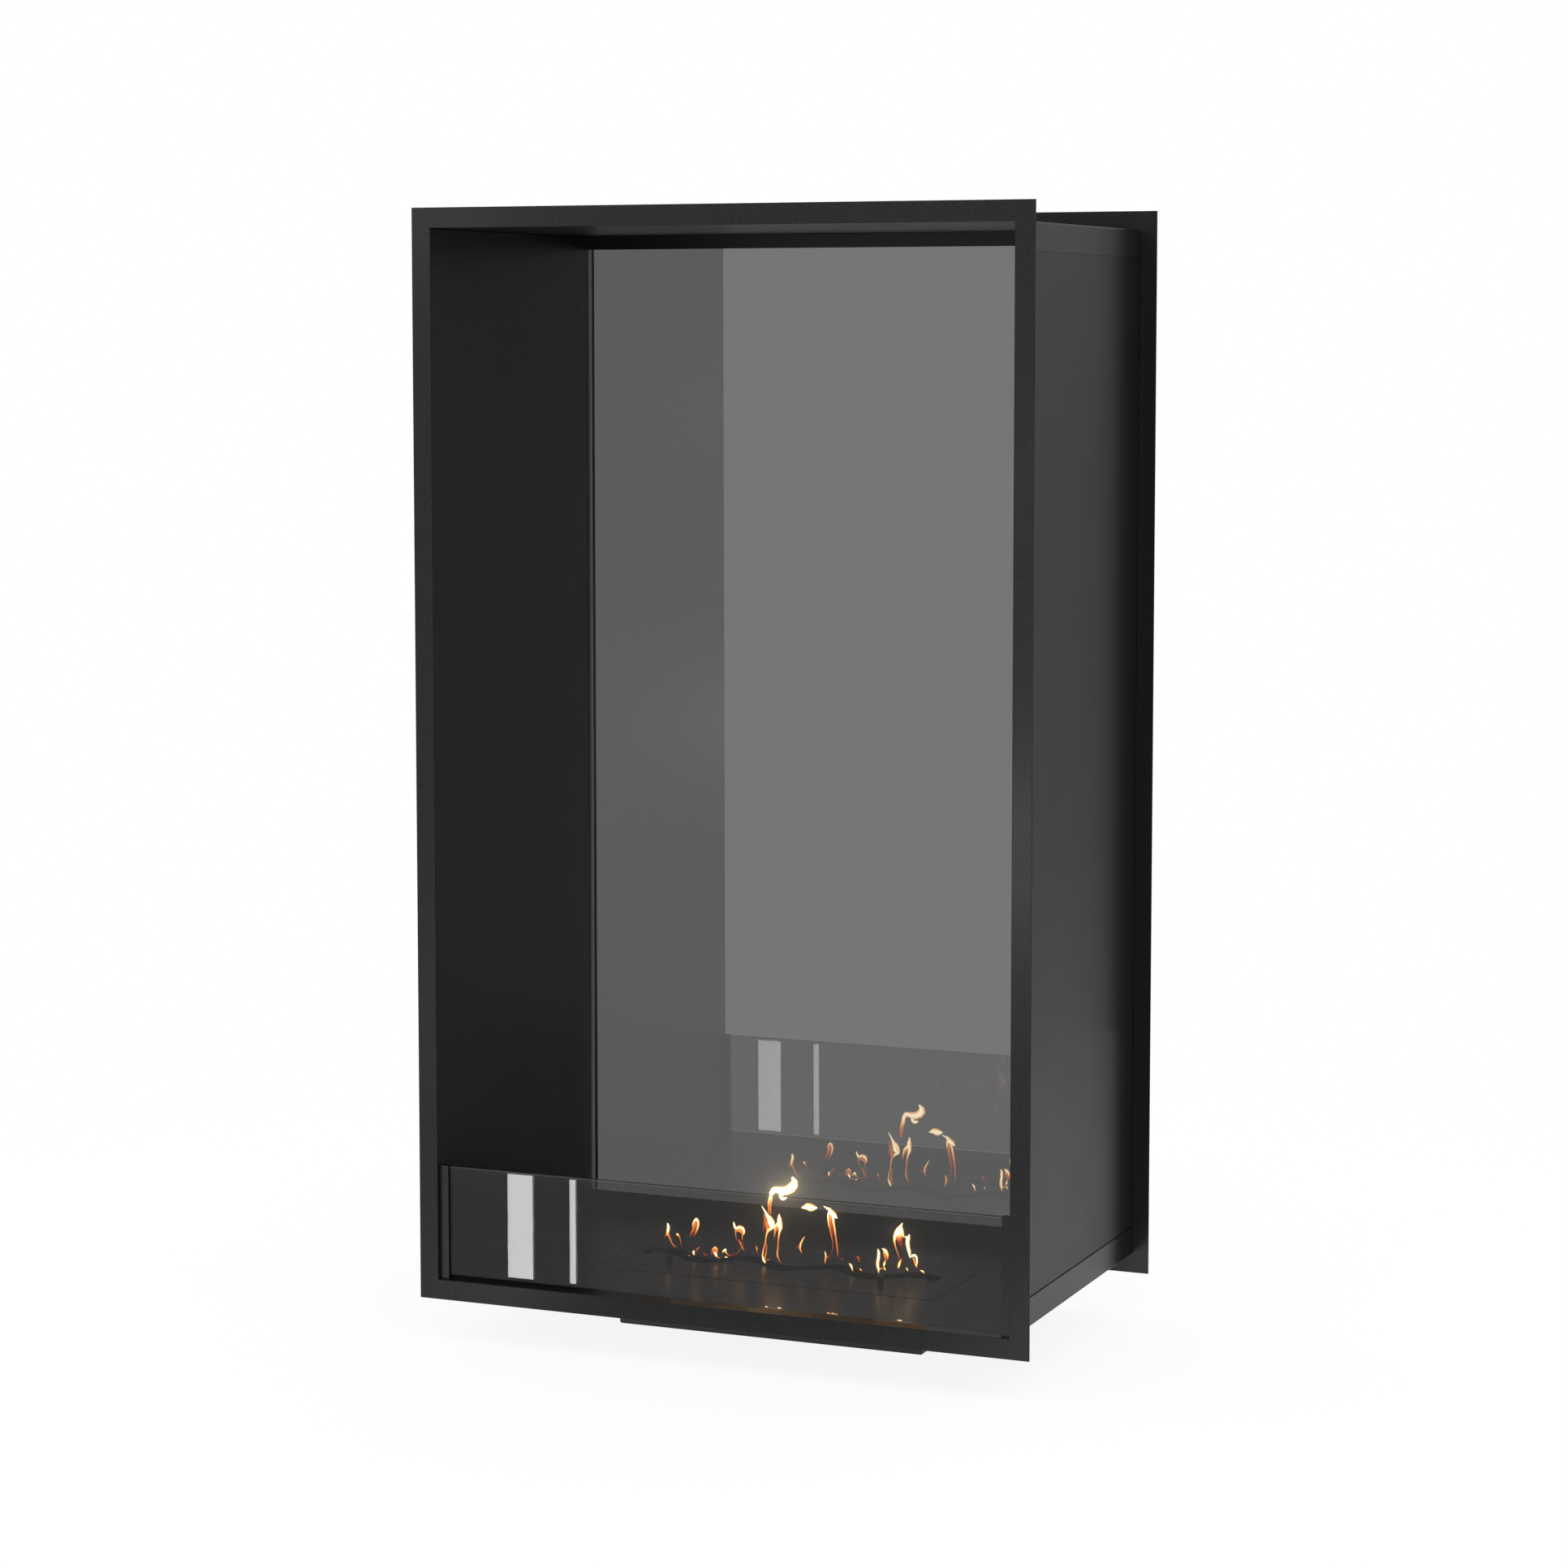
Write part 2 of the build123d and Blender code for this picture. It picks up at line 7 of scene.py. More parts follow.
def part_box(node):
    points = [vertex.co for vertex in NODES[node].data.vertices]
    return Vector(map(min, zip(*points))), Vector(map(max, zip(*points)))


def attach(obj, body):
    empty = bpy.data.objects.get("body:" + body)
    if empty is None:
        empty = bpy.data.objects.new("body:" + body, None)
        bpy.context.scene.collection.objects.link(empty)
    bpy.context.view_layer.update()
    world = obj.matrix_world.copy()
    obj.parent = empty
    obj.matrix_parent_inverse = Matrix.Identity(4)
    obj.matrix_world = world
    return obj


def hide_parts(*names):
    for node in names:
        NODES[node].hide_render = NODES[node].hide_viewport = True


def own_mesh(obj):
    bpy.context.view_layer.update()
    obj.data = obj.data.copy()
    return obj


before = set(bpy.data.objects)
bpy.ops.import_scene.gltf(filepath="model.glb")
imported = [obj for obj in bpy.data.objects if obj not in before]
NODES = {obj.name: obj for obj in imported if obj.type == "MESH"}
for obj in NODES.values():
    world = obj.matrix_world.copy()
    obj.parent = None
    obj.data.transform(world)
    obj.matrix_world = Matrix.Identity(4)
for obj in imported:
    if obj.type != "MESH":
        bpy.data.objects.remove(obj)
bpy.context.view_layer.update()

bl_info = {
    "name": "See-through bioethanol fireplace",
    "version": (1, 0, 0),
    "blender": (4, 5, 0),
    "location": "View3D > Sidebar > Fireplace",
    "description": "Finishes, flames, wool and studio for the see-through bioethanol fireplace",
    "category": "Object",
}

MM = 0.001
PLATE_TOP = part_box("burner_plate")[1].z
WOOL_LOW, WOOL_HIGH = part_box("ceramic_wool")

# Kinds of node that are used more than once
BUMP = "ShaderNodeBump"
COORDINATES = "ShaderNodeTexCoord"
EMISSION = "ShaderNodeEmission"
GEOMETRY = "ShaderNodeNewGeometry"
LIGHT_PATH = "ShaderNodeLightPath"
MAP_RANGE = "ShaderNodeMapRange"
MAPPING = "ShaderNodeMapping"
MATH = "ShaderNodeMath"
MIX = "ShaderNodeMix"
MIX_SHADER = "ShaderNodeMixShader"
NOISE = "ShaderNodeTexNoise"
PRINCIPLED = "ShaderNodeBsdfPrincipled"
RAMP = "ShaderNodeValToRGB"
SEPARATE = "ShaderNodeSeparateXYZ"
VECTOR_MATH = "ShaderNodeVectorMath"

# A Mix node's sockets share their names, so they go by number
SHARE, NUMBER_A, NUMBER_B, COLOUR_A, COLOUR_B = 0, 2, 3, 6, 7
MIXED_NUMBER, MIXED_COLOUR = 0, 2


def linear(hex_colour):
    """An sRGB hex colour as linear red, green, blue and alpha."""
    parts = [int(hex_colour[i : i + 2], 16) / 255 for i in (0, 2, 4)]
    return tuple(c / 12.92 if c <= 0.04045 else ((c + 0.055) / 1.055) ** 2.4 for c in parts) + (1.0,)


# --------------------------------------------------------------------------
# What a user would change
# --------------------------------------------------------------------------


def size(name, text, value):
    """A length in metres that shows in the panel."""
    return bpy.props.FloatProperty(name=name, description=text, default=value, unit="LENGTH")


def colour(name, text, hex_colour):
    """A colour that shows in the panel."""
    return bpy.props.FloatVectorProperty(
        name=name, description=text, default=linear(hex_colour), subtype="COLOR", size=4, min=0.0, max=1.0
    )


class FireplaceSizes(bpy.types.PropertyGroup):
    """Lengths of the new pieces and of the stage."""

    flame_depth: bpy.props.FloatProperty(
        name="Flame depth",
        description="Depth of a flame lick as a share of its width",
        default=0.55,
        min=0.1,
        max=1.0,
        subtype="FACTOR",
    )
    flame_step: size("Flame step", "Lift of the flame feet above the burner plate", 0.0004)
    wool_fray: size("Wool fray", "How far the fibres of the wool block stand off its faces", 0.0012)
    socket_width: size("Screw socket", "Width across the flats of the screws' hexagon sockets", 0.0025)
    floor_radius: size("Floor radius", "Radius of the studio floor", 6.0)
    stripe_plane: size("Stripe plane", "Depth of the two narrow lights in front of the fireplace", -0.690)
    stripe_top: size("Stripe top", "Height of the two narrow lights", 0.0945)


class FireplaceColours(bpy.types.PropertyGroup):
    """Colours of the finishes."""

    coating: colour("Coating", "Matt black powder coat of the casing", "0E0E0E")
    coating_light: colour("Coating, lighter", "Lighter flecks of the powder coat", "161616")
    # These two are lighter than the casing's coat: painted light that falls on the face frame. Its flecks are
    # the coat's own grain.
    face_frame: colour("Face frame", "Powder coat of the face frame", "1B1B1B")
    face_frame_light: colour("Face frame, lighter", "Lighter flecks of the face frame", "262626")
    plate: colour("Burner plate", "Black coat of the burner plate", "0B0B0B")
    plate_heated: colour("Burner plate, heated", "Coat beside the flame slot, browned by heat", "1A120C")
    knob: colour("Knob", "Blackened steel of the knobs", "111112")
    stainless: colour("Stainless", "Brushed stainless steel of the tank", "B9B6B0")
    zinc: colour("Zinc", "Black zinc of the screws and rivets", "2A2A2C")
    seal: colour("Seal", "Silicone of the gaskets and pads", "161616")
    wool: colour("Wool", "Ceramic fibre block", "E4E1DA")
    grey_glass: colour("Rear glass", "Dark grey float glass of the rear pane", "606060")
    guard_glass: colour("Guard glass", "Light grey tempered glass of the guard", "B2B2B2")
    floor: colour("Floor", "Pale studio floor", "606060")


# --------------------------------------------------------------------------
# Small helpers
# --------------------------------------------------------------------------


def sizes():
    """The lengths set in the panel."""
    return bpy.context.scene.fireplace_sizes


def colours():
    """The colours set in the panel."""
    return bpy.context.scene.fireplace_colours


def place(tree, kind, values=None, links=None, **settings):
    """One node with its settings, its input values and its links."""
    node = tree.nodes.new(kind)
    for name, value in settings.items():
        setattr(node, name, value)
    for name, value in (values or {}).items():
        node.inputs[name].default_value = value
    for name, socket in (links or {}).items():
        tree.links.new(socket, node.inputs[name])
    return node


def blank_material(name):
    """An empty node material and its tree."""
    material = bpy.data.materials.new(name)
    material.use_nodes = True
    material.node_tree.nodes.clear()
    return material, material.node_tree


def finish_surface(tree, shader):
    """Sends a shader to the surface output."""
    output = tree.nodes.new("ShaderNodeOutputMaterial")
    tree.links.new(shader, output.inputs["Surface"])


def mirrored_share(tree):
    """1 for what is seen mirrored, 0 for what is seen directly or through glass."""
    path = place(tree, LIGHT_PATH)
    share = place(
        tree,
        MATH,
        links={0: path.outputs["Is Glossy Ray"], 1: path.outputs["Is Transmission Ray"]},
        operation="SUBTRACT",
        use_clamp=True,
    )
    return share.outputs["Value"]


def dress(names, material):
    """Gives a material to CAD nodes."""
    for name in names:
        mesh = NODES[name].data
        mesh.materials.clear()
        mesh.materials.append(material)


def select_only(*objects):
    """Selects these objects alone, the first one active."""
    bpy.ops.object.select_all(action="DESELECT")
    for item in objects:
        item.select_set(True)
    bpy.context.view_layer.objects.active = objects[0]


def settle():
    """Puts the active object's place into its mesh, so the object sits at the origin."""
    bpy.ops.object.transform_apply(location=True, rotation=True, scale=True)


def pick_faces(mesh, test):
    """Selects the faces of an object in object mode that pass a test."""
    for part in (*mesh.vertices, *mesh.edges, *mesh.polygons):
        part.select = False
    for face in mesh.polygons:
        if test(face):
            face.select = True
            for index in face.vertices:
                mesh.vertices[index].select = True


def own_copy(item, move):
    """A copy of a finished piece with its own mesh, moved by a matrix in the mesh."""
    twin = item.copy()
    twin.data = item.data.copy()
    twin.data.transform(move)
    bpy.context.scene.collection.objects.link(twin)
    return twin


# --------------------------------------------------------------------------
# Finishes
# --------------------------------------------------------------------------


def powder_coated_steel(name, deep, light, rough_low, rough_high, level, grain_size):
    """Folded sheet steel, sprayed with a fine textured powder and baked.

    It gives the eye a satin black with a soft sheen, broken up by an orange-peel grain about 2.5 mm across.
    """
    material, tree = blank_material(name)
    where = place(tree, COORDINATES).outputs["Object"]
    # orange peel, 2.5 mm from crest to crest
    peel = place(tree, NOISE, {"Scale": 1 / (2.5 * MM), "Detail": 2.0, "Roughness": 0.5}, {"Vector": where})
    # powder grain, 0.9 to 1.6 mm, drawn coarser than the real 0.3 mm so that it shows
    grain = place(tree, NOISE, {"Scale": 1 / grain_size, "Detail": 1.0}, {"Vector": where})
    # uneven spray, in clouds of about 120 mm
    cloud = place(tree, NOISE, {"Scale": 1 / (120 * MM), "Detail": 3.0}, {"Vector": where})
    mottle = place(tree, MAP_RANGE, {"From Min": 0.35, "From Max": 0.75}, {"Value": grain.outputs["Fac"]})
    tint = place(
        tree, MIX, {COLOUR_A: deep, COLOUR_B: light}, {SHARE: mottle.outputs["Result"]}, data_type="RGBA"
    )
    rough = place(
        tree,
        MAP_RANGE,
        {"From Min": 0.3, "From Max": 0.7, "To Min": rough_low, "To Max": rough_high},
        {"Value": cloud.outputs["Fac"]},
    )
    fine = place(
        tree, BUMP, {"Strength": 0.20, "Distance": grain_size / 40}, {"Height": grain.outputs["Fac"]}
    )
    coarse = place(
        tree,
        BUMP,
        {"Strength": 0.4, "Distance": 0.03 * MM},
        {"Height": peel.outputs["Fac"], "Normal": fine.outputs["Normal"]},
    )
    shader = place(
        tree,
        PRINCIPLED,
        {"Metallic": 0.0, "IOR": 1.5, "Specular IOR Level": level},
        {
            "Base Color": tint.outputs[MIXED_COLOUR],
            "Roughness": rough.outputs["Result"],
            "Normal": coarse.outputs["Normal"],
        },
    )
    finish_surface(tree, shader.outputs["BSDF"])
    return material


def heated_steel(name):
    """Laser-cut burner steel under a smooth heat-proof stove enamel.

    It gives the eye a deeper, glossier black than the casing, browned in a band along the flame slot.
    """
    palette = colours()
    material, tree = blank_material(name)
    where = place(tree, COORDINATES).outputs["Object"]
    split = place(tree, SEPARATE, links={"Vector": where})
    away = place(tree, MATH, links={0: split.outputs["Y"]}, operation="ABSOLUTE")
    # heat band, which fades from 16 to 40 mm either side of the burner's middle line
    band = place(
        tree,
        MAP_RANGE,
        {"From Min": 16 * MM, "From Max": 40 * MM, "To Min": 1.0, "To Max": 0.0},
        {"Value": away.outputs["Value"]},
    )
    # uneven scorching, in blotches of about 18 mm
    blotch = place(tree, NOISE, {"Scale": 1 / (18 * MM), "Detail": 4.0}, {"Vector": where})
    burn = place(
        tree, MATH, links={0: band.outputs["Result"], 1: blotch.outputs["Fac"]}, operation="MULTIPLY"
    )
    tint = place(
        tree,
        MIX,
        {COLOUR_A: tuple(palette.plate), COLOUR_B: tuple(palette.plate_heated)},
        {SHARE: burn.outputs["Value"]},
        data_type="RGBA",
    )
    # faint orange peel, 2.2 mm
    peel = place(tree, NOISE, {"Scale": 1 / (2.2 * MM), "Detail": 2.0}, {"Vector": where})
    bump = place(tree, BUMP, {"Strength": 0.2, "Distance": 0.01 * MM}, {"Height": peel.outputs["Fac"]})
    rough = place(
        tree,
        MAP_RANGE,
        {"From Min": 0.3, "From Max": 0.7, "To Min": 0.26, "To Max": 0.36},
        {"Value": blotch.outputs["Fac"]},
    )
    shader = place(
        tree,
        PRINCIPLED,
        {"Metallic": 0.0, "IOR": 1.5},
        {
            "Base Color": tint.outputs[MIXED_COLOUR],
            "Roughness": rough.outputs["Result"],
            "Normal": bump.outputs["Normal"],
        },
    )
    finish_surface(tree, shader.outputs["BSDF"])
    return material


def sooted_steel(name):
    """Bare steel in and under the flame slot, burnt and sooted.

    It gives the eye a dead black that mirrors almost nothing, with grey ash in patches.
    """
    material, tree = blank_material(name)
    where = place(tree, COORDINATES).outputs["Object"]
    # ash patches, 9 mm
    ash = place(tree, NOISE, {"Scale": 1 / (9 * MM), "Detail": 5.0}, {"Vector": where})
    patch = place(tree, MAP_RANGE, {"From Min": 0.55, "From Max": 0.8}, {"Value": ash.outputs["Fac"]})
    tint = place(
        tree,
        MIX,
        {COLOUR_A: linear("030303"), COLOUR_B: linear("0B0A09")},
        {SHARE: patch.outputs["Result"]},
        data_type="RGBA",
    )
    rough = place(tree, MAP_RANGE, {"To Min": 0.7, "To Max": 0.95}, {"Value": ash.outputs["Fac"]})
    shader = place(
        tree,
        PRINCIPLED,
        {"Specular IOR Level": 0.0},
        {"Base Color": tint.outputs[MIXED_COLOUR], "Roughness": rough.outputs["Result"]},
    )
    finish_surface(tree, shader.outputs["BSDF"])
    return material


def turned_knob_steel(name, centre):
    """Turned mild steel, blackened in hot oil.

    It gives the eye a soft dark sheen with fine turning rings, 0.5 mm apart, on the knob's flat top.
    """
    material, tree = blank_material(name)
    where = place(tree, COORDINATES).outputs["Object"]
    centred = place(tree, MAPPING, {"Location": (-centre.x, -centre.y, 0.0)}, {"Vector": where})
    # rings 0.5 mm apart: one wave of the pattern is 2 pi / 20 of its scale
    rings = place(
        tree,
        "ShaderNodeTexWave",
        {"Scale": 2 * math.pi / 20 / (0.5 * MM), "Distortion": 0.2, "Detail": 1.0},
        {"Vector": centred.outputs["Vector"]},
        wave_type="RINGS",
        rings_direction="Z",
    )
    # stains of the oil, 3 mm
    stain = place(tree, NOISE, {"Scale": 1 / (3 * MM), "Detail": 3.0}, {"Vector": where})
    tint = place(
        tree,
        MIX,
        {COLOUR_A: linear("0D0D0E"), COLOUR_B: tuple(colours().knob)},
        {SHARE: stain.outputs["Fac"]},
        data_type="RGBA",
    )
    rough = place(tree, MAP_RANGE, {"To Min": 0.28, "To Max": 0.40}, {"Value": stain.outputs["Fac"]})
    bump = place(tree, BUMP, {"Strength": 0.4, "Distance": 0.02 * MM}, {"Height": rings.outputs["Fac"]})
    shader = place(
        tree,
        PRINCIPLED,
        {"Metallic": 0.55, "Specular IOR Level": 0.25},
        {
            "Base Color": tint.outputs[MIXED_COLOUR],
            "Roughness": rough.outputs["Result"],
            "Normal": bump.outputs["Normal"],
        },
    )
    finish_surface(tree, shader.outputs["BSDF"])
    return material


def brushed_stainless(name):
    """Cold-rolled stainless steel sheet, brushed along its length.

    It gives the eye a warm grey metal with long fine scratches along X, and a straw tint from heat.
    """
    material, tree = blank_material(name)
    where = place(tree, COORDINATES).outputs["Object"]
    drawn = place(tree, MAPPING, {"Scale": (0.03, 1.0, 1.0)}, {"Vector": where})
    # brush lines, 0.4 mm apart and about 13 mm long
    lines = place(tree, NOISE, {"Scale": 1 / (0.4 * MM), "Detail": 3.0}, {"Vector": drawn.outputs["Vector"]})
    # heat tint, in clouds of about 60 mm
    heat = place(tree, NOISE, {"Scale": 1 / (60 * MM), "Detail": 2.0}, {"Vector": where})
    tint = place(
        tree,
        MIX,
        {COLOUR_A: tuple(colours().stainless), COLOUR_B: linear("8F8069")},
        {SHARE: heat.outputs["Fac"]},
        data_type="RGBA",
    )
    rough = place(tree, MAP_RANGE, {"To Min": 0.22, "To Max": 0.42}, {"Value": lines.outputs["Fac"]})
    bump = place(tree, BUMP, {"Strength": 0.3, "Distance": 0.01 * MM}, {"Height": lines.outputs["Fac"]})
    shader = place(
        tree,
        PRINCIPLED,
        {"Metallic": 1.0},
        {
            "Base Color": tint.outputs[MIXED_COLOUR],
            "Roughness": rough.outputs["Result"],
            "Normal": bump.outputs["Normal"],
        },
    )
    finish_surface(tree, shader.outputs["BSDF"])
    return material


def black_zinc(name):
    """Zinc-plated steel screws, passivated black.

    It gives the eye a dark, slightly purple metal with a fine crystalline haze.
    """
    material, tree = blank_material(name)
    where = place(tree, COORDINATES).outputs["Object"]
    # crystal haze, 0.6 mm
    haze = place(tree, "ShaderNodeTexVoronoi", {"Scale": 1 / (0.6 * MM)}, {"Vector": where})
    tint = place(
        tree,
        MIX,
        {COLOUR_A: tuple(colours().zinc), COLOUR_B: linear("3A3840")},
        {SHARE: haze.outputs["Distance"]},
        data_type="RGBA",
    )
    rough = place(tree, MAP_RANGE, {"To Min": 0.30, "To Max": 0.48}, {"Value": haze.outputs["Distance"]})
    shader = place(
        tree,
        PRINCIPLED,
        {"Metallic": 1.0},
        {"Base Color": tint.outputs[MIXED_COLOUR], "Roughness": rough.outputs["Result"]},
    )
    finish_surface(tree, shader.outputs["BSDF"])
    return material


def moulded_silicone(name):
    """Heat-proof silicone rubber, pressed in a mould.

    It gives the eye a dull black with a faint dusty bloom.
    """
    material, tree = blank_material(name)
    where = place(tree, COORDINATES).outputs["Object"]
    # dust bloom, in patches of 5 mm
    bloom = place(tree, NOISE, {"Scale": 1 / (5 * MM), "Detail": 5.0}, {"Vector": where})
    tint = place(
        tree,
        MIX,
        {COLOUR_A: tuple(colours().seal), COLOUR_B: linear("222221")},
        {SHARE: bloom.outputs["Fac"]},
        data_type="RGBA",
    )
    rough = place(tree, MAP_RANGE, {"To Min": 0.55, "To Max": 0.75}, {"Value": bloom.outputs["Fac"]})
    shader = place(
        tree,
        PRINCIPLED,
        {"IOR": 1.43},
        {"Base Color": tint.outputs[MIXED_COLOUR], "Roughness": rough.outputs["Result"]},
    )
    finish_surface(tree, shader.outputs["BSDF"])
    return material


def tinted_float_glass(name, tint, deeper, ior, lean):
    """Float glass coloured grey in its mass, tempered, with ground edges.

    It gives the eye a clean mirror over a see-through grey, with a hardly visible unevenness of colour.
    A pane held in soft seals leans a little, which lifts what it mirrors: lean is that slope.
    """
    material, tree = blank_material(name)
    where = place(tree, COORDINATES).outputs["Object"]
    # streaks of the melt, about 250 mm wide
    melt = place(tree, NOISE, {"Scale": 1 / (250 * MM), "Detail": 1.0}, {"Vector": where})
    mix = place(tree, MIX, {COLOUR_A: tint, COLOUR_B: deeper}, {SHARE: melt.outputs["Fac"]}, data_type="RGBA")
    upright = place(tree, SEPARATE, links={"Vector": where})
    facing = place(tree, SEPARATE, links={"Vector": place(tree, GEOMETRY).outputs["True Normal"]})
    # both faces lean the same way, so the slope changes its sign with the side that is looked at
    slope = place(tree, MATH, links={0: upright.outputs["Z"], 1: facing.outputs["Y"]}, operation="MULTIPLY")
    bump = place(
        tree, BUMP, {"Strength": 1.0, "Distance": lean}, {"Height": slope.outputs["Value"]}, invert=True
    )
    shader = place(
        tree,
        PRINCIPLED,
        {"Roughness": 0.0, "IOR": ior, "Transmission Weight": 1.0},
        {"Base Color": mix.outputs[MIXED_COLOUR], "Normal": bump.outputs["Normal"]},
    )
    finish_surface(tree, shader.outputs["BSDF"])
    return material


def ceramic_fibre(name):
    """Pressed ceramic fibre, soaked with fuel.

    It gives the eye a chalky off-white felt, scorched a little on top.
    """
    material, tree = blank_material(name)
    where = place(tree, COORDINATES).outputs["Object"]
    # matted fibres, 1.2 mm
    felt = place(tree, NOISE, {"Scale": 1 / (1.2 * MM), "Detail": 8.0, "Roughness": 0.7}, {"Vector": where})
    # scorched patches, 25 mm
    scorch = place(tree, NOISE, {"Scale": 1 / (25 * MM), "Detail": 3.0}, {"Vector": where})
    mark = place(tree, MAP_RANGE, {"From Min": 0.5, "From Max": 0.75}, {"Value": scorch.outputs["Fac"]})
    pale = place(
        tree,
        MIX,
        {COLOUR_A: tuple(colours().wool), COLOUR_B: linear("C9C4B8")},
        {SHARE: felt.outputs["Fac"]},
        data_type="RGBA",
    )
    tint = place(
        tree,
        MIX,
        {COLOUR_B: linear("7D6C58")},
        {SHARE: mark.outputs["Result"], COLOUR_A: pale.outputs[MIXED_COLOUR]},
        data_type="RGBA",
    )
    bump = place(tree, BUMP, {"Strength": 0.8, "Distance": 0.4 * MM}, {"Height": felt.outputs["Fac"]})
    shader = place(
        tree,
        PRINCIPLED,
        {"Roughness": 0.95, "Specular IOR Level": 0.2},
        {"Base Color": tint.outputs[MIXED_COLOUR], "Normal": bump.outputs["Normal"]},
    )
    finish_surface(tree, shader.outputs["BSDF"])
    return material


def burning_ethanol(name):
    """Burning bioethanol vapour: soot glowing in thin sheets.

    It gives the eye a white-yellow core that turns orange at its rim and thins out to nothing.
    """
    material, tree = blank_material(name)
    heat = place(tree, "ShaderNodeAttribute", attribute_name="burn")
    ramp = place(tree, RAMP, links={"Fac": heat.outputs["Fac"]})
    ramp.color_ramp.interpolation = "EASE"
    stops = ramp.color_ramp.elements
    stops[0].position, stops[0].color = 0.0, linear("3C0A02")
    stops[1].position, stops[1].color = 1.0, linear("FFF2D0")
    for position, shade in ((0.25, "6E1E06"), (0.50, "A85A1C"), (0.72, "E6B060")):
        stop = stops.new(position)
        stop.color = linear(shade)
    fade = place(tree, MAP_RANGE, {"From Min": 0.0, "From Max": 0.45}, {"Value": heat.outputs["Fac"]})
    # mirrored sharply, the cores stay white; the dull steel shows no more than a faint smear
    sharp = place(tree, LIGHT_PATH).outputs["Is Singular Ray"]
    sharpness = place(tree, MIX, {NUMBER_A: 0.50, NUMBER_B: 2.0}, {SHARE: sharp})
    share = place(
        tree, MIX, {NUMBER_A: 1.0}, {SHARE: mirrored_share(tree), NUMBER_B: sharpness.outputs[MIXED_NUMBER]}
    )
    glow = place(
        tree,
        VECTOR_MATH,
        links={0: ramp.outputs["Color"], "Scale": share.outputs[MIXED_NUMBER]},
        operation="SCALE",
    )
    shader = place(
        tree,
        PRINCIPLED,
        {
            "Base Color": (0.0, 0.0, 0.0, 1.0),
            "Roughness": 1.0,
            "Specular IOR Level": 0.0,
            "Emission Strength": 5.0,
        },
        {"Emission Color": glow.outputs["Vector"], "Alpha": fade.outputs["Result"]},
    )
    finish_surface(tree, shader.outputs["BSDF"])
    return material


# Powder coats: name, darker and lighter colour, lowest and highest roughness, specular level, grain in mm and
# the nodes that have it. The grain shows coarsest on the face frame.
POWDER_COATS = (
    # the face frame's lighter colours paint the light on its face; its coarse grain is its own
    ("powder_coated_face_frame", "face_frame", "face_frame_light", 0.27, 0.30, 0.16, 1.6, ("front_frame",)),
    ("powder_coated_rear_frame", "coating", "coating_light", 0.30, 0.33, 0.38, 0.9, ("rear_frame",)),
    (
        "powder_coated_inner_steel", "coating", "coating_light", 0.31, 0.34, 0.44, 0.9,
        ("top_cap", "left_liner", "right_liner", "rear_bottom_bead", "rear_top_bead", "burner_housing",
            "burner_support_ring"),
    ),
    ("satin_powder_coated_steel", "coating", "coating_light", 0.24, 0.27, 0.37, 0.9, ("base_tray",)),
    (
        "smooth_powder_coated_steel", "coating", "coating_light", 0.30, 0.33, 0.30, 0.9,
        ("left_skin", "right_skin", "left_glass_channel", "right_glass_channel"),
    ),
    # the rear lips get a darker and duller coat than the rest of the casing
    (
        "heat_dulled_powder_coated_steel", "plate", "coating", 0.31, 0.35, 0.26, 0.9,
        ("rear_top_lip", "rear_bottom_lip"),
    ),
)
# How far the tall pane leans in its seals, and how strongly each glass bends and mirrors light
REAR_GLASS_LEAN = 0.0205
REAR_GLASS_IOR, GUARD_GLASS_IOR = 1.75, 1.46


class FIREPLACE_OT_finishes(bpy.types.Operator):
    """Gives the CAD nodes the finishes of the real pieces"""

    bl_idname = "fireplace.finishes"
    bl_label = "Finish the steel, glass and seals"

    def execute(self, context):
        palette = colours()
        for name, deep, light, rough_low, rough_high, level, grain, nodes in POWDER_COATS:
            deep, light = tuple(getattr(palette, deep)), tuple(getattr(palette, light))
            dress(nodes, powder_coated_steel(name, deep, light, rough_low, rough_high, level, grain * MM))
        dress(["burner_plate", "slider_plate"], heated_steel("stove_enamelled_steel"))
        dress(["bed_plate", "wool_screen"], sooted_steel("sooted_steel"))
        for side in ("left", "right"):
            low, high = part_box(side + "_knob")
            dress([side + "_knob"], turned_knob_steel("blackened_turned_steel_" + side, (low + high) / 2))
        dress(["fuel_tank"], brushed_stainless("brushed_stainless_steel"))
        zinc = black_zinc("black_zinc_plated_steel")
        dress(["bead_screws", "housing_screws", "knob_screws", "channel_rivets"], zinc)
        silicone = moulded_silicone("silicone_rubber")
        dress(["rear_glass_gaskets", "rear_glass_blocks", "guard_glass_pads"], silicone)
        tint = tuple(palette.grey_glass)
        pane = tinted_float_glass(
            "dark_grey_float_glass", tint, linear("5E5E5E"), REAR_GLASS_IOR, REAR_GLASS_LEAN
        )
        dress(["rear_glass"], pane)
        tint = tuple(palette.guard_glass)
        guard = tinted_float_glass("grey_tempered_glass", tint, linear("B0B0B0"), GUARD_GLASS_IOR, 0.0)
        dress(["guard_glass"], guard)
        return {"FINISHED"}


# --------------------------------------------------------------------------
# Ceramic wool
# --------------------------------------------------------------------------

WOOL_EDGE = 2.5 * MM
WOOL_LUMP = 9 * MM


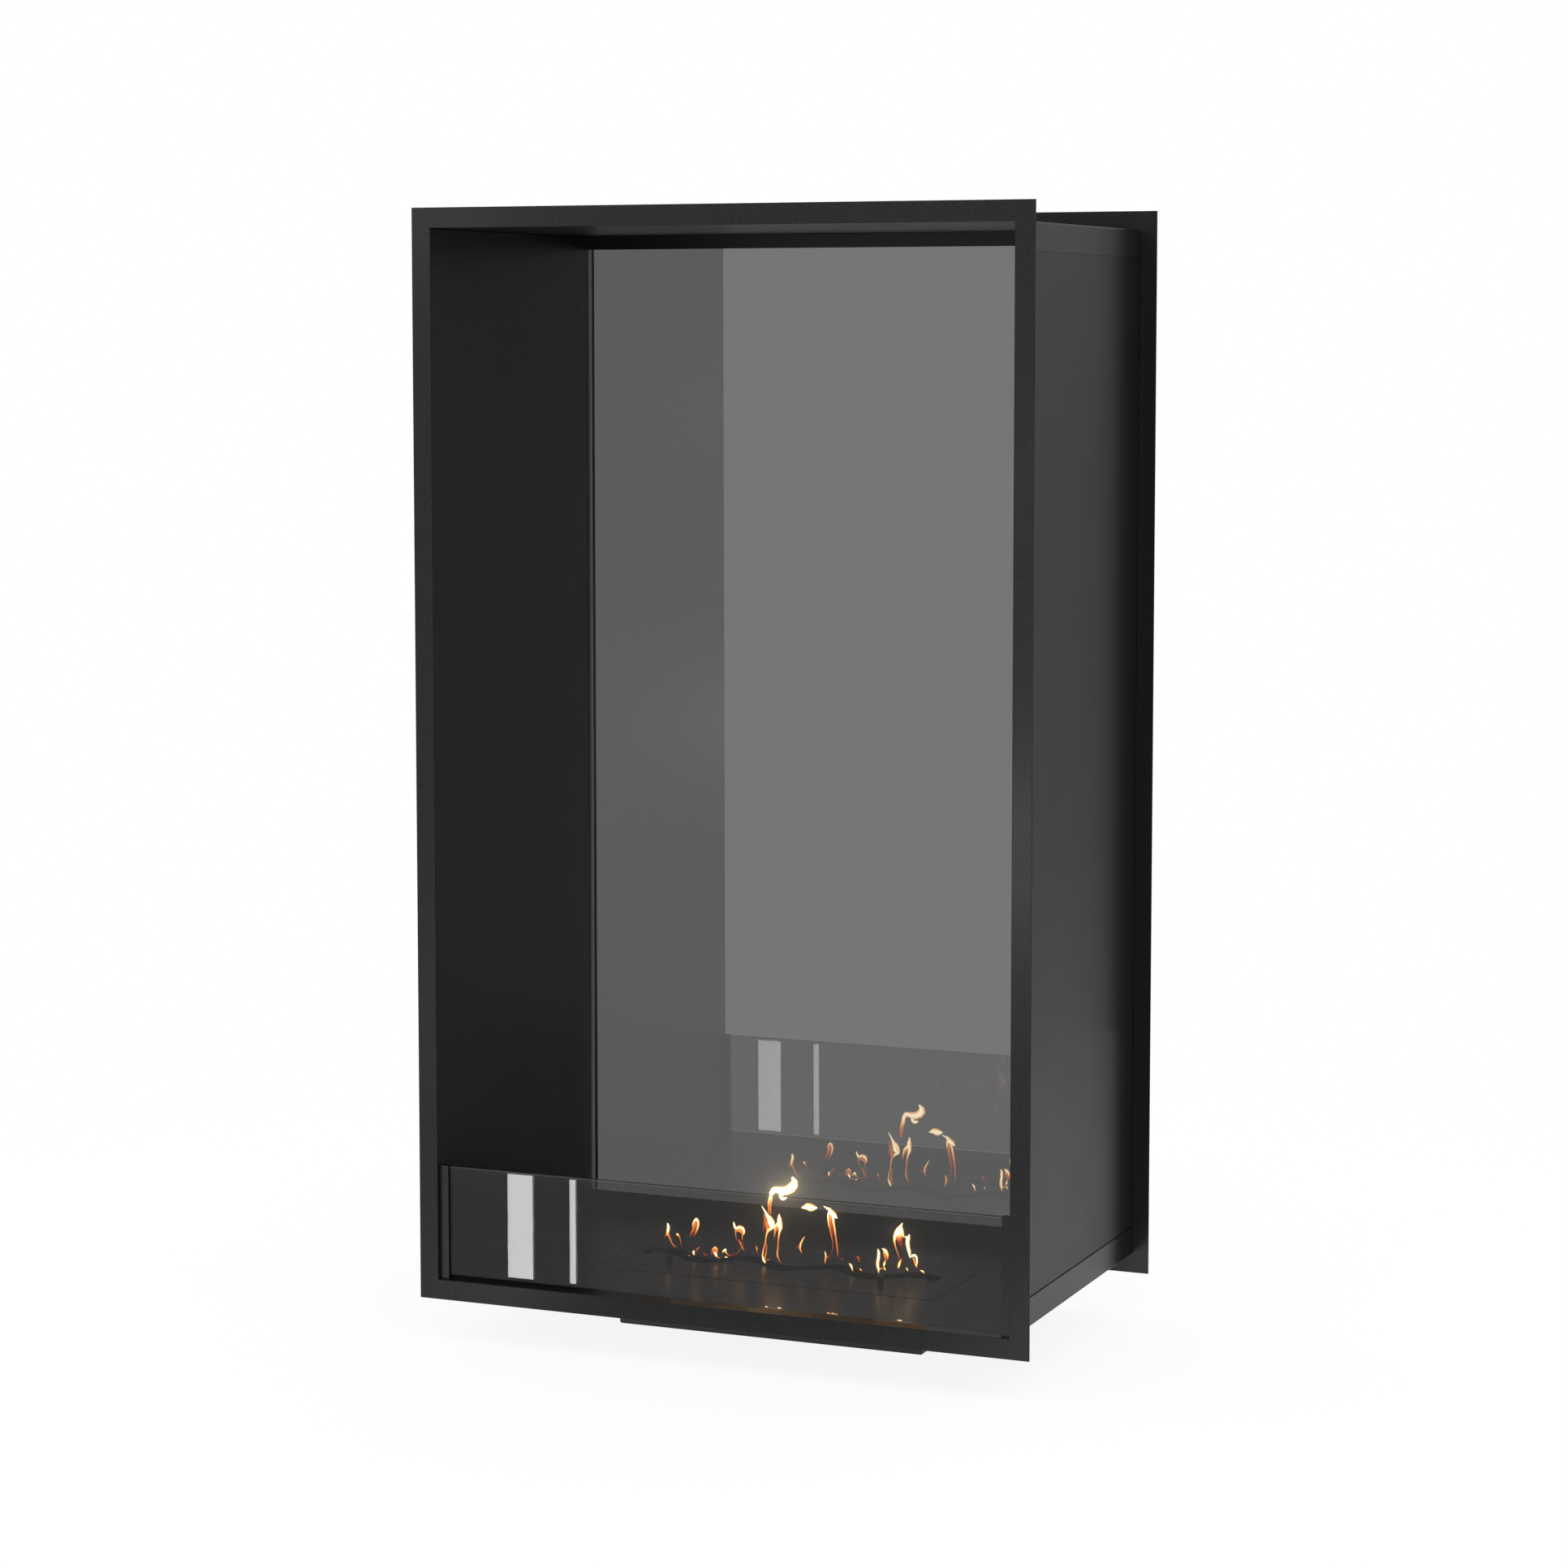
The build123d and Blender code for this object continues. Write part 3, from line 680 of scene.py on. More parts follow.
class FIREPLACE_OT_wool(bpy.types.Operator):
    """Models the pressed ceramic wool block that fills the fuel tank"""

    bl_idname = "fireplace.wool"
    bl_label = "Ceramic wool block"

    def execute(self, context):
        fray = sizes().wool_fray
        bpy.ops.object.select_all(action="DESELECT")
        bpy.ops.mesh.primitive_cube_add(size=1.0, location=(WOOL_LOW + WOOL_HIGH) / 2)
        block = context.active_object
        block.name = block.data.name = "wool_block"
        block.scale = (WOOL_HIGH - WOOL_LOW) - Vector((2 * fray,) * 3)
        settle()
        bpy.ops.object.mode_set(mode="EDIT")
        bpy.ops.mesh.select_all(action="SELECT")
        bpy.ops.mesh.bevel(offset=WOOL_EDGE, segments=2)
        for cuts in (5, 3):
            bpy.ops.mesh.select_all(action="SELECT")
            bpy.ops.mesh.subdivide(number_cuts=cuts)
        bpy.ops.object.mode_set(mode="OBJECT")
        felt = bpy.data.textures.new("wool_felt", "CLOUDS")
        felt.noise_scale = WOOL_LUMP
        felt.noise_depth = 4
        lump = block.modifiers.new("felt", "DISPLACE")
        lump.texture = felt
        lump.texture_coords = "LOCAL"
        lump.mid_level = 0.5
        lump.strength = 1.6 * fray
        bpy.ops.object.modifier_apply(modifier="felt")
        bpy.ops.object.shade_smooth()
        block.data.materials.append(ceramic_fibre("pressed_ceramic_fibre"))
        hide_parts("ceramic_wool")
        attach(block, "burner")
        return {"FINISHED"}


# --------------------------------------------------------------------------
# Screws
# --------------------------------------------------------------------------

HEAD_HALF, HEAD_HEIGHT, HEAD_ROUND = 4.0 * MM, 2.4 * MM, 0.7 * MM
SHANK_HALF, SHANK_LEAD = 2.0 * MM, 0.5 * MM
PUNCH_LENGTH = 3.0 * MM
SMOOTH_ANGLE = math.radians(35)
BEAD_SCREWS_X = (-300, -100, 100, 300)
HOUSING_SCREWS = [(x, y) for x in (-180, -60, 60, 180) for y in (-86, 86)]


def socket_screw(length):
    """One pan head screw with a hexagon socket, its seat at the origin and its tip down the Z axis."""
    bpy.ops.object.select_all(action="DESELECT")
    bpy.ops.mesh.primitive_cylinder_add(
        vertices=30,
        radius=HEAD_HALF,
        depth=HEAD_HEIGHT,
        location=(0, 0, HEAD_HEIGHT / 2),
        end_fill_type="NGON",
    )
    screw = bpy.context.active_object
    settle()
    # shank: the seat face drawn in and pulled down, with a small lead at its tip
    pick_faces(screw.data, lambda face: face.normal.z < -0.9)
    bpy.ops.object.mode_set(mode="EDIT")
    bpy.ops.mesh.inset(thickness=HEAD_HALF - SHANK_HALF)
    for reach in (length - SHANK_LEAD, SHANK_LEAD):
        bpy.ops.mesh.extrude_region_move(TRANSFORM_OT_translate={"value": (0, 0, -reach)})
    bpy.ops.transform.resize(value=(0.8, 0.8, 1.0))
    bpy.ops.object.mode_set(mode="OBJECT")
    # rounded rim of the head
    pick_faces(screw.data, lambda face: face.normal.z > 0.9)
    bpy.ops.object.mode_set(mode="EDIT")
    bpy.ops.mesh.bevel(offset=HEAD_ROUND, segments=3)
    bpy.ops.object.mode_set(mode="OBJECT")
    # socket, cut with a hexagonal punch
    bpy.ops.object.select_all(action="DESELECT")
    bpy.ops.mesh.primitive_cylinder_add(
        vertices=6,
        radius=sizes().socket_width / math.sqrt(3),
        depth=PUNCH_LENGTH,
        location=(0, 0, HEAD_HEIGHT),
    )
    punch = bpy.context.active_object
    settle()
    select_only(screw)
    cut = screw.modifiers.new("socket", "BOOLEAN")
    cut.operation = "DIFFERENCE"
    cut.solver = "EXACT"
    cut.object = punch
    bpy.ops.object.modifier_apply(modifier="socket")
    select_only(punch)
    bpy.ops.object.delete()
    select_only(screw)
    bpy.ops.object.shade_smooth_by_angle(angle=SMOOTH_ANGLE)
    return screw


def screw_set(name, node, first, moves):
    """Copies of one screw at their places, joined into the piece that stands for a CAD node."""
    screws = [own_copy(first, move) for move in moves]
    select_only(first)
    bpy.ops.object.delete()
    select_only(*screws)
    bpy.ops.object.join()
    whole = bpy.context.active_object
    whole.name = whole.data.name = name
    whole.data.materials.clear()
    whole.data.materials.append(bpy.data.materials["black_zinc_plated_steel"])
    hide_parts(node)
    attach(whole, "case")


class FIREPLACE_OT_screws(bpy.types.Operator):
    """Models the socket screws of the glazing beads and of the burner housing"""

    bl_idname = "fireplace.screws"
    bl_label = "Socket screws"

    def execute(self, context):
        low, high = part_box("bead_screws")
        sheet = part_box("rear_bottom_bead")[0].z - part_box("rear_bottom_lip")[0].z
        low_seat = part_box("rear_bottom_bead")[0].z + sheet
        high_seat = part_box("rear_top_bead")[1].z - sheet
        y = (low.y + high.y) / 2
        upside_down = Matrix.Rotation(math.pi, 4, "X")
        moves = []
        for x in BEAD_SCREWS_X:
            moves.append(Matrix.Translation((x * MM, y, low_seat)))
            moves.append(Matrix.Translation((x * MM, y, high_seat)) @ upside_down)
        screw_set("bead_socket_screws", "bead_screws", socket_screw(low_seat - low.z), moves)
        low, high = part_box("housing_screws")
        seat = low.z + HEAD_HEIGHT
        moves = [Matrix.Translation((x * MM, y * MM, seat)) @ upside_down for x, y in HOUSING_SCREWS]
        screw_set("housing_socket_screws", "housing_screws", socket_screw(high.z - seat), moves)
        return {"FINISHED"}


# --------------------------------------------------------------------------
# Flames
# --------------------------------------------------------------------------

# Each lick: distance of its foot behind the burner's middle line, then the points of its middle line as
# (X, height over the plate, half width, heat), the lengths in mm, the heat from 0 to 1.
LICKS = {
    "left_curl": [
        (7.8, [(-153, 7, 0.5, 0.35), (-156, 8, 0.8, 0.5), (-159, 11, 0.8, 0.45), (-161, 16, 1.1, 0.5),
            (-163, 20, 1.4, 0.55), (-165, 23, 2.0, 0.68), (-164, 27, 1.9, 0.95), (-163, 32, 1.9, 1),
            (-164, 35, 1.2, 1)]),
        (7.8, [(-168, 18, 0.5, 0.3), (-167, 21, 1.2, 0.45), (-165, 23, 1.4, 0.6)]),
        (2.6, [(-144, 12, 0.5, 0.35), (-145, 17, 0.6, 0.4), (-146, 22, 0.8, 0.5), (-148, 24, 1.3, 0.8),
            (-149, 25, 1.3, 0.9), (-150, 24, 0.7, 0.6)]),
    ],
    "left_drop": [
        (-12, [(-123, 32, 0.7, 0.4), (-121, 38, 1.1, 0.6), (-121, 44, 1.3, 0.8), (-119, 48, 1.4, 0.92),
            (-117, 50, 1.4, 0.95), (-115, 48, 1.4, 0.95), (-114, 44, 1.3, 0.85), (-115, 39, 1.3, 0.75),
            (-117, 34, 1.0, 0.6), (-119, 30, 0.7, 0.4), (-120, 28, 0.4, 0.3)]),
        (-11.6, [(-126, 27, 0.5, 0.22), (-123, 32, 1.7, 0.36), (-120, 38, 2.6, 0.42), (-118, 44, 3.1, 0.5),
            (-117, 48, 2.1, 0.66)]),
        (-14, [(-119, 5, 0.6, 0.6), (-120, 7, 1.7, 0.85), (-120, 9, 1.4, 1)]),
        (-14, [(-117, 10, 0.6, 0.35), (-115, 13, 1.5, 0.38), (-113, 15, 1.1, 0.35)]),
        (-14, [(-107, 8, 0.6, 0.25), (-105, 7, 1.3, 0.3), (-102, 7, 0.6, 0.25)]),
        (-14, [(-127, 4, 0.5, 0.6), (-126, 4, 0.6, 0.6)]),
    ],
    "left_arch": [
        (-13, [(-97, 8, 0.6, 0.3), (-95, 12, 1.3, 0.45), (-94, 15, 1.7, 0.6), (-91, 17, 1.5, 0.7),
            (-89, 15, 1.4, 0.65), (-89, 11, 1.1, 0.5)]),
        (-12.6, [(-95, 8, 1.0, 0.28), (-93, 12, 2.6, 0.42), (-91, 14, 2.1, 0.55)]),
        (-13.2, [(-89, 5, 0.6, 0.7), (-90, 7, 1.4, 0.95), (-91, 9, 2.1, 1), (-92, 11, 1.4, 0.9)]),
        (-13.2, [(-89, 6, 0.7, 0.6), (-88, 4, 0.6, 0.5), (-85, 5, 0.5, 0.5)]),
        (-8, [(-84, 10, 0.6, 0.6), (-82, 13, 1.4, 0.95), (-80, 14, 1.4, 1), (-80, 12, 1.1, 0.85),
            (-78, 9, 0.7, 0.6), (-75, 7, 0.5, 0.4), (-71, 8, 0.4, 0.3), (-67, 10, 0.4, 0.25)]),
        (-9, [(-80, 5, 0.8, 0.85), (-78, 5, 0.8, 0.85)]),
    ],
    "left_twin": [
        (1, [(-74, 46, 0.7, 1), (-73, 43, 1.4, 1), (-72, 40, 1.5, 1), (-70, 39, 1.8, 0.95),
            (-66, 41, 2.3, 0.85), (-62, 40, 2.1, 0.92), (-60, 37, 1.5, 0.95), (-60, 34, 1.1, 0.8),
            (-62, 31, 0.8, 0.6), (-62, 26, 0.6, 0.45)]),
        (1.4, [(-71, 37, 1.0, 0.7), (-71, 32, 0.7, 0.5), (-70, 27, 0.6, 0.4), (-69, 24, 0.4, 0.3)]),
        (1.6, [(-71, 36, 1.7, 0.4), (-67, 37, 2.4, 0.55), (-64, 36, 2.6, 0.6), (-62, 33, 1.2, 0.5)]),
        (2, [(-67, 25, 0.7, 0.4), (-65, 22, 1.4, 0.45), (-62, 16, 1.4, 0.45), (-60, 13, 0.6, 0.35)]),
        (1, [(-61, 23, 0.6, 0.35), (-63, 17, 0.6, 0.32), (-66, 10, 0.5, 0.3), (-71, 8, 0.4, 0.22)]),
        (2, [(-44, 19, 0.7, 0.5), (-43, 17, 1.3, 0.6), (-43, 14, 0.8, 0.42), (-42, 11, 0.4, 0.3),
            (-39, 8, 0.2, 0.25)]),
    ],
    "middle_stem": [
        (-6, [(-28, 1.4, 0.6, 0.6), (-29, 3, 1.3, 0.98), (-31, 6, 1.5, 0.95), (-32, 11, 1.1, 0.75),
            (-31, 18, 1.0, 0.62), (-29, 25, 1.0, 0.58), (-28, 32, 1.0, 0.62), (-27, 38, 1.3, 0.7),
            (-25, 42, 1.8, 0.8), (-21, 45, 2.3, 0.9), (-18, 48, 2.6, 1), (-19, 53, 3.1, 1),
            (-22, 57, 3.3, 1), (-25, 60, 2.6, 1), (-27, 64, 1.5, 1), (-29, 67, 1.1, 1), (-31, 70, 0.8, 1),
            (-32, 72, 0.5, 0.9)]),
        (-5.5, [(-26, 61, 1.0, 1), (-23, 55, 3.1, 1), (-21, 50, 3.8, 1), (-19, 47, 2.1, 0.95)]),
        (-6, [(-30, 3, 0.8, 0.7), (-28, 11, 0.8, 0.6), (-27, 17, 0.8, 0.5), (-27, 24, 0.7, 0.45),
            (-28, 27, 0.6, 0.4)]),
        (-5, [(-30, 62, 0.7, 0.6), (-30, 55, 0.8, 0.45), (-31, 48, 1.0, 0.35), (-32, 41, 1.0, 0.26)]),
        (-5, [(-28, 57, 1.7, 0.42), (-27, 50, 2.9, 0.5), (-26, 44, 2.6, 0.55), (-27, 39, 1.4, 0.45)]),
        (-6, [(-27, 5, 0.8, 0.45), (-23, 7, 0.6, 0.45)]),
    ],
    "tall_hook": [
        (-14, [(-19, 66, 0.8, 0.42), (-19, 71, 1.4, 0.5), (-19, 76, 1.8, 0.55), (-18, 82, 2.1, 0.75),
            (-16, 86, 2.4, 0.95), (-15, 92, 2.9, 1), (-12, 96, 3.3, 1), (-7, 96, 3.8, 1), (-2, 95, 4.8, 1),
            (4, 96, 5.2, 1), (9, 99, 5.5, 1), (12, 103, 5.2, 1), (12, 107, 3.8, 1), (10, 110, 1.7, 1)]),
        (-14.5, [(-4, 92, 2.4, 1), (-2, 88, 3.1, 1), (0, 86, 2.4, 1), (3, 87, 1.9, 1)]),
        (-13.6, [(-14, 86, 1.1, 0.8), (-16, 79, 1.2, 0.62), (-17, 72, 1.1, 0.52), (-17, 65, 0.8, 0.42)]),
    ],
    "middle_fork": [
        (-12, [(-15, 34, 0.5, 0.3), (-14, 39, 1.0, 0.5), (-13, 44, 1.3, 0.7), (-12, 50, 1.7, 0.9),
            (-9, 54, 1.7, 0.95)]),
        (-13, [(-3, 4, 0.4, 0.25), (-6, 7, 0.6, 0.35), (-9, 12, 1.0, 0.62), (-10, 17, 1.1, 0.66),
            (-9, 24, 1.1, 0.52), (-9, 30, 1.0, 0.5), (-8, 37, 1.1, 0.65), (-7, 43, 1.4, 0.85),
            (-5, 49, 2.4, 1), (-6, 54, 3.6, 1), (-6, 60, 2.9, 1), (-6, 64, 1.3, 1), (-6, 66, 0.5, 0.9)]),
        (-12.4, [(-12, 44, 1.4, 0.42), (-10, 48, 2.4, 0.55), (-9, 52, 2.6, 0.8)]),
    ],
    "loose_wisp": [
        (-10, [(23, 76, 1.0, 1), (26, 77, 2.6, 1), (30, 78, 4.6, 1), (34, 77, 5.0, 1), (38, 77, 3.6, 1),
            (40, 77, 1.7, 1)]),
    ],
    "right_stem": [
        (1, [(46, 77, 0.6, 1), (50, 75, 1.3, 1), (53, 74, 2.1, 1), (56, 70, 3.9, 1), (60, 67, 3.3, 1),
            (62, 65, 1.6, 1)]),
        (1, [(52, 69, 1.3, 1), (52, 63, 1.1, 0.95), (53, 56, 1.1, 0.75), (55, 50, 1.0, 0.6),
            (56, 43, 0.9, 0.5), (58, 36, 0.7, 0.4), (58, 28, 0.6, 0.33), (56, 19, 0.4, 0.28),
            (52, 13, 0.4, 0.22)]),
        (1, [(58, 67, 2.0, 1), (59, 59, 1.4, 0.9), (61, 50, 1.3, 0.75), (62, 42, 1.1, 0.6),
            (63, 34, 1.1, 0.52), (64, 24, 0.9, 0.45), (64, 17, 0.6, 0.35)]),
        (1.5, [(55, 64, 2.9, 0.6), (55, 57, 2.9, 0.42), (57, 50, 2.4, 0.34), (58, 43, 1.7, 0.26)]),
        (-8, [(25, 40, 0.4, 0.6), (22, 36, 1.0, 0.75), (19, 30, 1.3, 0.8), (18, 24, 1.1, 0.7),
            (20, 19, 0.6, 0.5)]),
        (-8, [(14, 24, 0.7, 0.3), (17, 28, 1.0, 0.4)]),
        (-3, [(49, 22, 0.7, 0.7), (50, 19, 1.1, 0.8), (50, 15, 1.3, 0.65), (49, 11, 0.9, 0.65),
            (49, 8, 0.6, 0.5)]),
        (-3, [(53, 17, 0.6, 0.4), (51, 15, 0.9, 0.5)]),
    ],
    "right_sparks": [
        (-14, [(75, 20, 0.6, 0.35), (76, 17, 0.6, 0.3)]),
        (-14, [(95, 23, 1.0, 0.3), (97, 22, 1.7, 0.4), (98, 19, 1.0, 0.35), (99, 17, 0.6, 0.3)]),
        (-10, [(84, 12, 0.9, 0.9), (86, 10, 1.4, 1), (87, 7, 1.1, 0.9), (88, 4, 0.6, 0.6)]),
        (-14, [(99, 8, 0.7, 0.7), (100, 7, 1.0, 0.75), (101, 6, 0.6, 0.5)]),
    ],
    "right_curl": [
        (-14, [(122, 34, 0.9, 0.85), (123, 31, 1.7, 1), (123, 25, 1.9, 1), (122, 19, 1.9, 0.95),
            (122, 14, 1.9, 0.95), (123, 9, 1.3, 0.9), (123, 6, 0.6, 0.7)]),
        (-13.6, [(120, 20, 0.7, 0.45), (120, 16, 0.9, 0.5), (121, 11, 0.7, 0.5)]),
        (-14, [(123, 11, 0.9, 0.8), (126, 11, 0.9, 0.6), (128, 11, 0.6, 0.45)]),
        (-13, [(127, 35, 0.7, 0.85), (130, 34, 1.7, 1), (132, 32, 2.0, 0.95), (134, 28, 1.7, 0.75),
            (134, 23, 1.0, 0.42)]),
        (-12.6, [(129, 32, 1.4, 0.7), (131, 27, 2.4, 0.5), (131, 23, 1.7, 0.38)]),
        (-13, [(131, 21, 0.7, 0.7), (130, 17, 1.7, 0.9), (129, 14, 0.9, 0.6)]),
        (-13, [(130, 12, 1.1, 0.9), (131, 10, 0.9, 0.75)]),
    ],
    "right_peak": [
        (-6, [(149, 66, 0.7, 0.9), (147, 62, 2.0, 1), (145, 58, 3.9, 1), (143, 54, 4.4, 1),
            (140, 50, 2.6, 0.95), (139, 45, 1.7, 0.85), (140, 40, 1.1, 0.65), (142, 34, 1.0, 0.5),
            (145, 27, 0.7, 0.42), (146, 23, 0.6, 0.4)]),
        (-6, [(148, 60, 2.0, 1), (149, 54, 2.3, 0.95), (151, 50, 0.9, 0.75)]),
        (-5.4, [(146, 53, 4.9, 0.85), (145, 48, 4.6, 0.52), (146, 44, 3.7, 0.32), (148, 39, 2.0, 0.2)]),
        (-6, [(149, 23, 0.7, 0.5), (147, 19, 1.6, 0.8), (146, 15, 1.6, 0.9), (145, 12, 0.7, 0.7)]),
    ],
    "right_twin": [
        (-1, [(156, 51, 1.0, 1), (155, 48, 2.6, 1), (154, 43, 2.7, 1), (155, 37, 2.4, 1),
            (157, 30, 2.0, 1), (158, 25, 1.1, 0.9)]),
        (-1, [(151, 49, 0.7, 1), (152, 48, 1.4, 1)]),
        (-1, [(160, 26, 1.3, 0.95), (163, 28, 1.6, 1), (166, 26, 1.4, 1), (167, 20, 1.3, 0.9),
            (166, 15, 1.1, 0.75), (167, 13, 0.6, 0.5)]),
        (-1, [(162, 24, 0.9, 0.7), (164, 19, 1.1, 0.6), (165, 16, 1.0, 0.6)]),
        (-1, [(154, 11, 1.0, 0.85), (155, 9, 0.9, 0.75)]),
        (-1, [(172, 10, 0.9, 0.8), (175, 9, 1.1, 0.95), (176, 7, 0.6, 0.5)]),
    ],
}

# A lick's two ends are drawn in to this half width, in mm
CLOSED = 0.03
# Each stretch of a lick is read in this many steps for its heat
HEAT_STEPS = 6
# A lick's rim is this share cooler than its middle line, and a thin lick counts as at least this half width
RIM_COOLING, LEAST_HALF = 0.5, 0.4


def lick_curve(name, foot, points):
    """One lick as a path whose points carry its width, closed at both ends."""
    first, second = Vector(points[0][:2]), Vector(points[1][:2])
    last, before = Vector(points[-1][:2]), Vector(points[-2][:2])
    tail = first + (first - second).normalized() * max(points[0][2] * 1.2, 0.5)
    tip = last + (last - before).normalized() * max(points[-1][2] * 1.4, 0.8)
    run = [(tail.x, tail.y, CLOSED)] + [point[:3] for point in points] + [(tip.x, tip.y, CLOSED)]
    bpy.ops.object.select_all(action="DESELECT")
    bpy.ops.curve.primitive_nurbs_path_add()
    path = bpy.context.active_object
    path.name = name
    curve = path.data
    curve.splines.clear()
    spline = curve.splines.new("NURBS")
    spline.points.add(len(run) - 1)
    depth = sizes().flame_depth
    for point, (x, height, half) in zip(spline.points, run):
        # the fire sways a little to the front and back as it rises
        sway = 0.05 * height * math.sin(0.9 + 0.05 * height + 0.03 * x)
        point.co = (x * MM, (foot + sway) * MM / depth, height * MM, 1.0)
        point.radius = half
    spline.use_endpoint_u = True
    spline.order_u = 3
    spline.resolution_u = 8
    curve.dimensions = "3D"
    curve.twist_mode = "Z_UP"
    curve.bevel_depth = 1.0 * MM
    curve.bevel_resolution = 3
    curve.use_fill_caps = True
    bpy.ops.object.convert(target="MESH")
    path = bpy.context.active_object
    path.scale = (1.0, depth, 1.0)
    path.location = (0.0, 0.0, PLATE_TOP + sizes().flame_step)
    settle()
    return path


def lay_heat(mesh, points):
    """Writes how hot each point of a lick is: as its nearest stretch, and less towards its rim."""
    steps = []
    for start, end in zip(points, points[1:]):
        change = [b - a for a, b in zip(start, end)]
        for i in range(HEAT_STEPS):
            t = i / HEAT_STEPS
            x, z, half, heat = (a + step * t for a, step in zip(start, change))
            steps.append((x, z, half, heat, change[0], change[1]))
    lift = PLATE_TOP + sizes().flame_step
    burn = mesh.attributes.new("burn", "FLOAT", "POINT")
    for vertex in mesh.vertices:
        x, z = vertex.co.x / MM, (vertex.co.z - lift) / MM
        nearest = min(steps, key=lambda step: (step[0] - x) ** 2 + (step[1] - z) ** 2)
        near_x, near_z, half, heat, run_x, run_z = nearest
        run = math.hypot(run_x, run_z) or 1.0
        across = abs((x - near_x) * run_z - (z - near_z) * run_x) / run
        rim = min(1.0, across / max(half, LEAST_HALF))
        burn.data[vertex.index].value = heat * (1.0 - RIM_COOLING * rim**2)


class FIREPLACE_OT_flames(bpy.types.Operator):
    """Models the flame licks that stand in the wavy slot of the burner"""

    bl_idname = "fireplace.flames"
    bl_label = "Flames"

    def execute(self, context):
        fire = burning_ethanol("burning_ethanol_vapour")
        for group, licks in LICKS.items():
            pieces = []
            for count, (foot, points) in enumerate(licks):
                piece = lick_curve(f"flame_{group}_{count}", foot, points)
                lay_heat(piece.data, points)
                pieces.append(piece)
            select_only(*pieces)
            if len(pieces) > 1:
                bpy.ops.object.join()
            flame = context.active_object
            flame.name = flame.data.name = "flame_" + group
            bpy.ops.object.mode_set(mode="EDIT")
            bpy.ops.mesh.select_all(action="SELECT")
            bpy.ops.mesh.remove_doubles(threshold=0.01 * MM)
            bpy.ops.mesh.normals_make_consistent(inside=False)
            bpy.ops.object.mode_set(mode="OBJECT")
            bpy.ops.object.shade_smooth()
            flame.data.materials.clear()
            flame.data.materials.append(fire)
            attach(flame, "burner")
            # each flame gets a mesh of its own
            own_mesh(flame)
        return {"FINISHED"}


# --------------------------------------------------------------------------
# Stage
# --------------------------------------------------------------------------

# What is mirrored of the surround: the rise of the direction (sine of its angle to the floor) and the level
SURROUND = {
    "front": ((-1.0, 0.50), (-0.40, 0.60), (-0.30, 1.0), (0.05, 1.0), (0.20, 0.50), (1.0, 0.40)),
    "behind": ((-1.0, 0.40), (-0.265, 0.40), (-0.240, 0.94), (-0.205, 0.94), (-0.180, 0.36), (0.0, 0.36),
               (0.03, 0.52), (0.3, 0.40), (1.0, 0.40)),
}

# The floor turns from its own colour to white between these distances from the fireplace
FADE_START, FADE_END = 0.6, 1.6
FLOOR_GLOW = 0.89

# The two narrow upright lights, by left and right edge, their foot, and their strength as the guard mirrors
# them and as the pane does
STRIPES = (("wide_stripe", -0.5110, -0.4740), ("thin_stripe", -0.4198, -0.4112))
STRIPE_FOOT = -0.045
ON_GUARD, IN_PANE = 13.0, 6.9

# The dark card behind them: X range, foot, how far in front of their plane it stands, and strength
DIM_ACROSS, DIM_FOOT, DIM_STEP, DIM_STRENGTH = (-0.602, 0.190), -0.050, 0.004, 0.38

# Cards that only the dull steel mirrors: name, X range, Z range, depth, strength. The flags are dark ones
# beside the rear frame and paint a darker reflection on the side skins. The sill cards stand behind the guard
# glass and paint the sheen on the sill under it.
SILL_RISE = (0.0765, 0.100)
SHEENS = (
    ("right_sheen", (-0.13, 0.05), (0.39, 0.53), -1.5, 18.0),
    ("right_sheen_above", (-0.13, 0.05), (0.97, 1.02), -1.5, 9.0),
    ("right_sheen_below", (-0.13, 0.05), (-0.38, -0.22), -1.5, 12.0),
    ("left_sheen", (-1.15, -0.95), (0.12, 0.19), -1.5, 9.0),
    ("left_sheen_above", (-1.15, -0.98), (1.38, 1.50), -1.5, 13.0),
    ("left_sheen_below", (-1.12, -0.98), (-0.38, -0.24), -1.5, 6.0),
    ("side_flag", (0.3862, 0.399), (0.35, 1.350), 0.2235, 0.02),
    ("side_flag_below", (0.3862, 0.393), (0.052, 0.35), 0.2235, 0.02),
    ("sill_sheen", (-0.115, 0.345), SILL_RISE, -0.1972, 0.22),
)

# Cards that paint the fire's reflection on the sill, stretch by stretch along X: left and right edge,
# strength, colour
SILL_GLOW_DEPTH = -0.1975
SILL_GLOW = (
    (-0.115, -0.07, 0.12, "F4E4D8"),
    (-0.07, -0.01, 0.20, "F0D8C0"),
    (-0.01, 0.03, 0.24, "F5D2AE"),
    (0.03, 0.07, 0.34, "FFD9AE"),
    (0.07, 0.11, 0.26, "F5D2AE"),
    (0.11, 0.19, 0.21, "EFCFAF"),
    (0.19, 0.25, 0.28, "F5CDA4"),
)


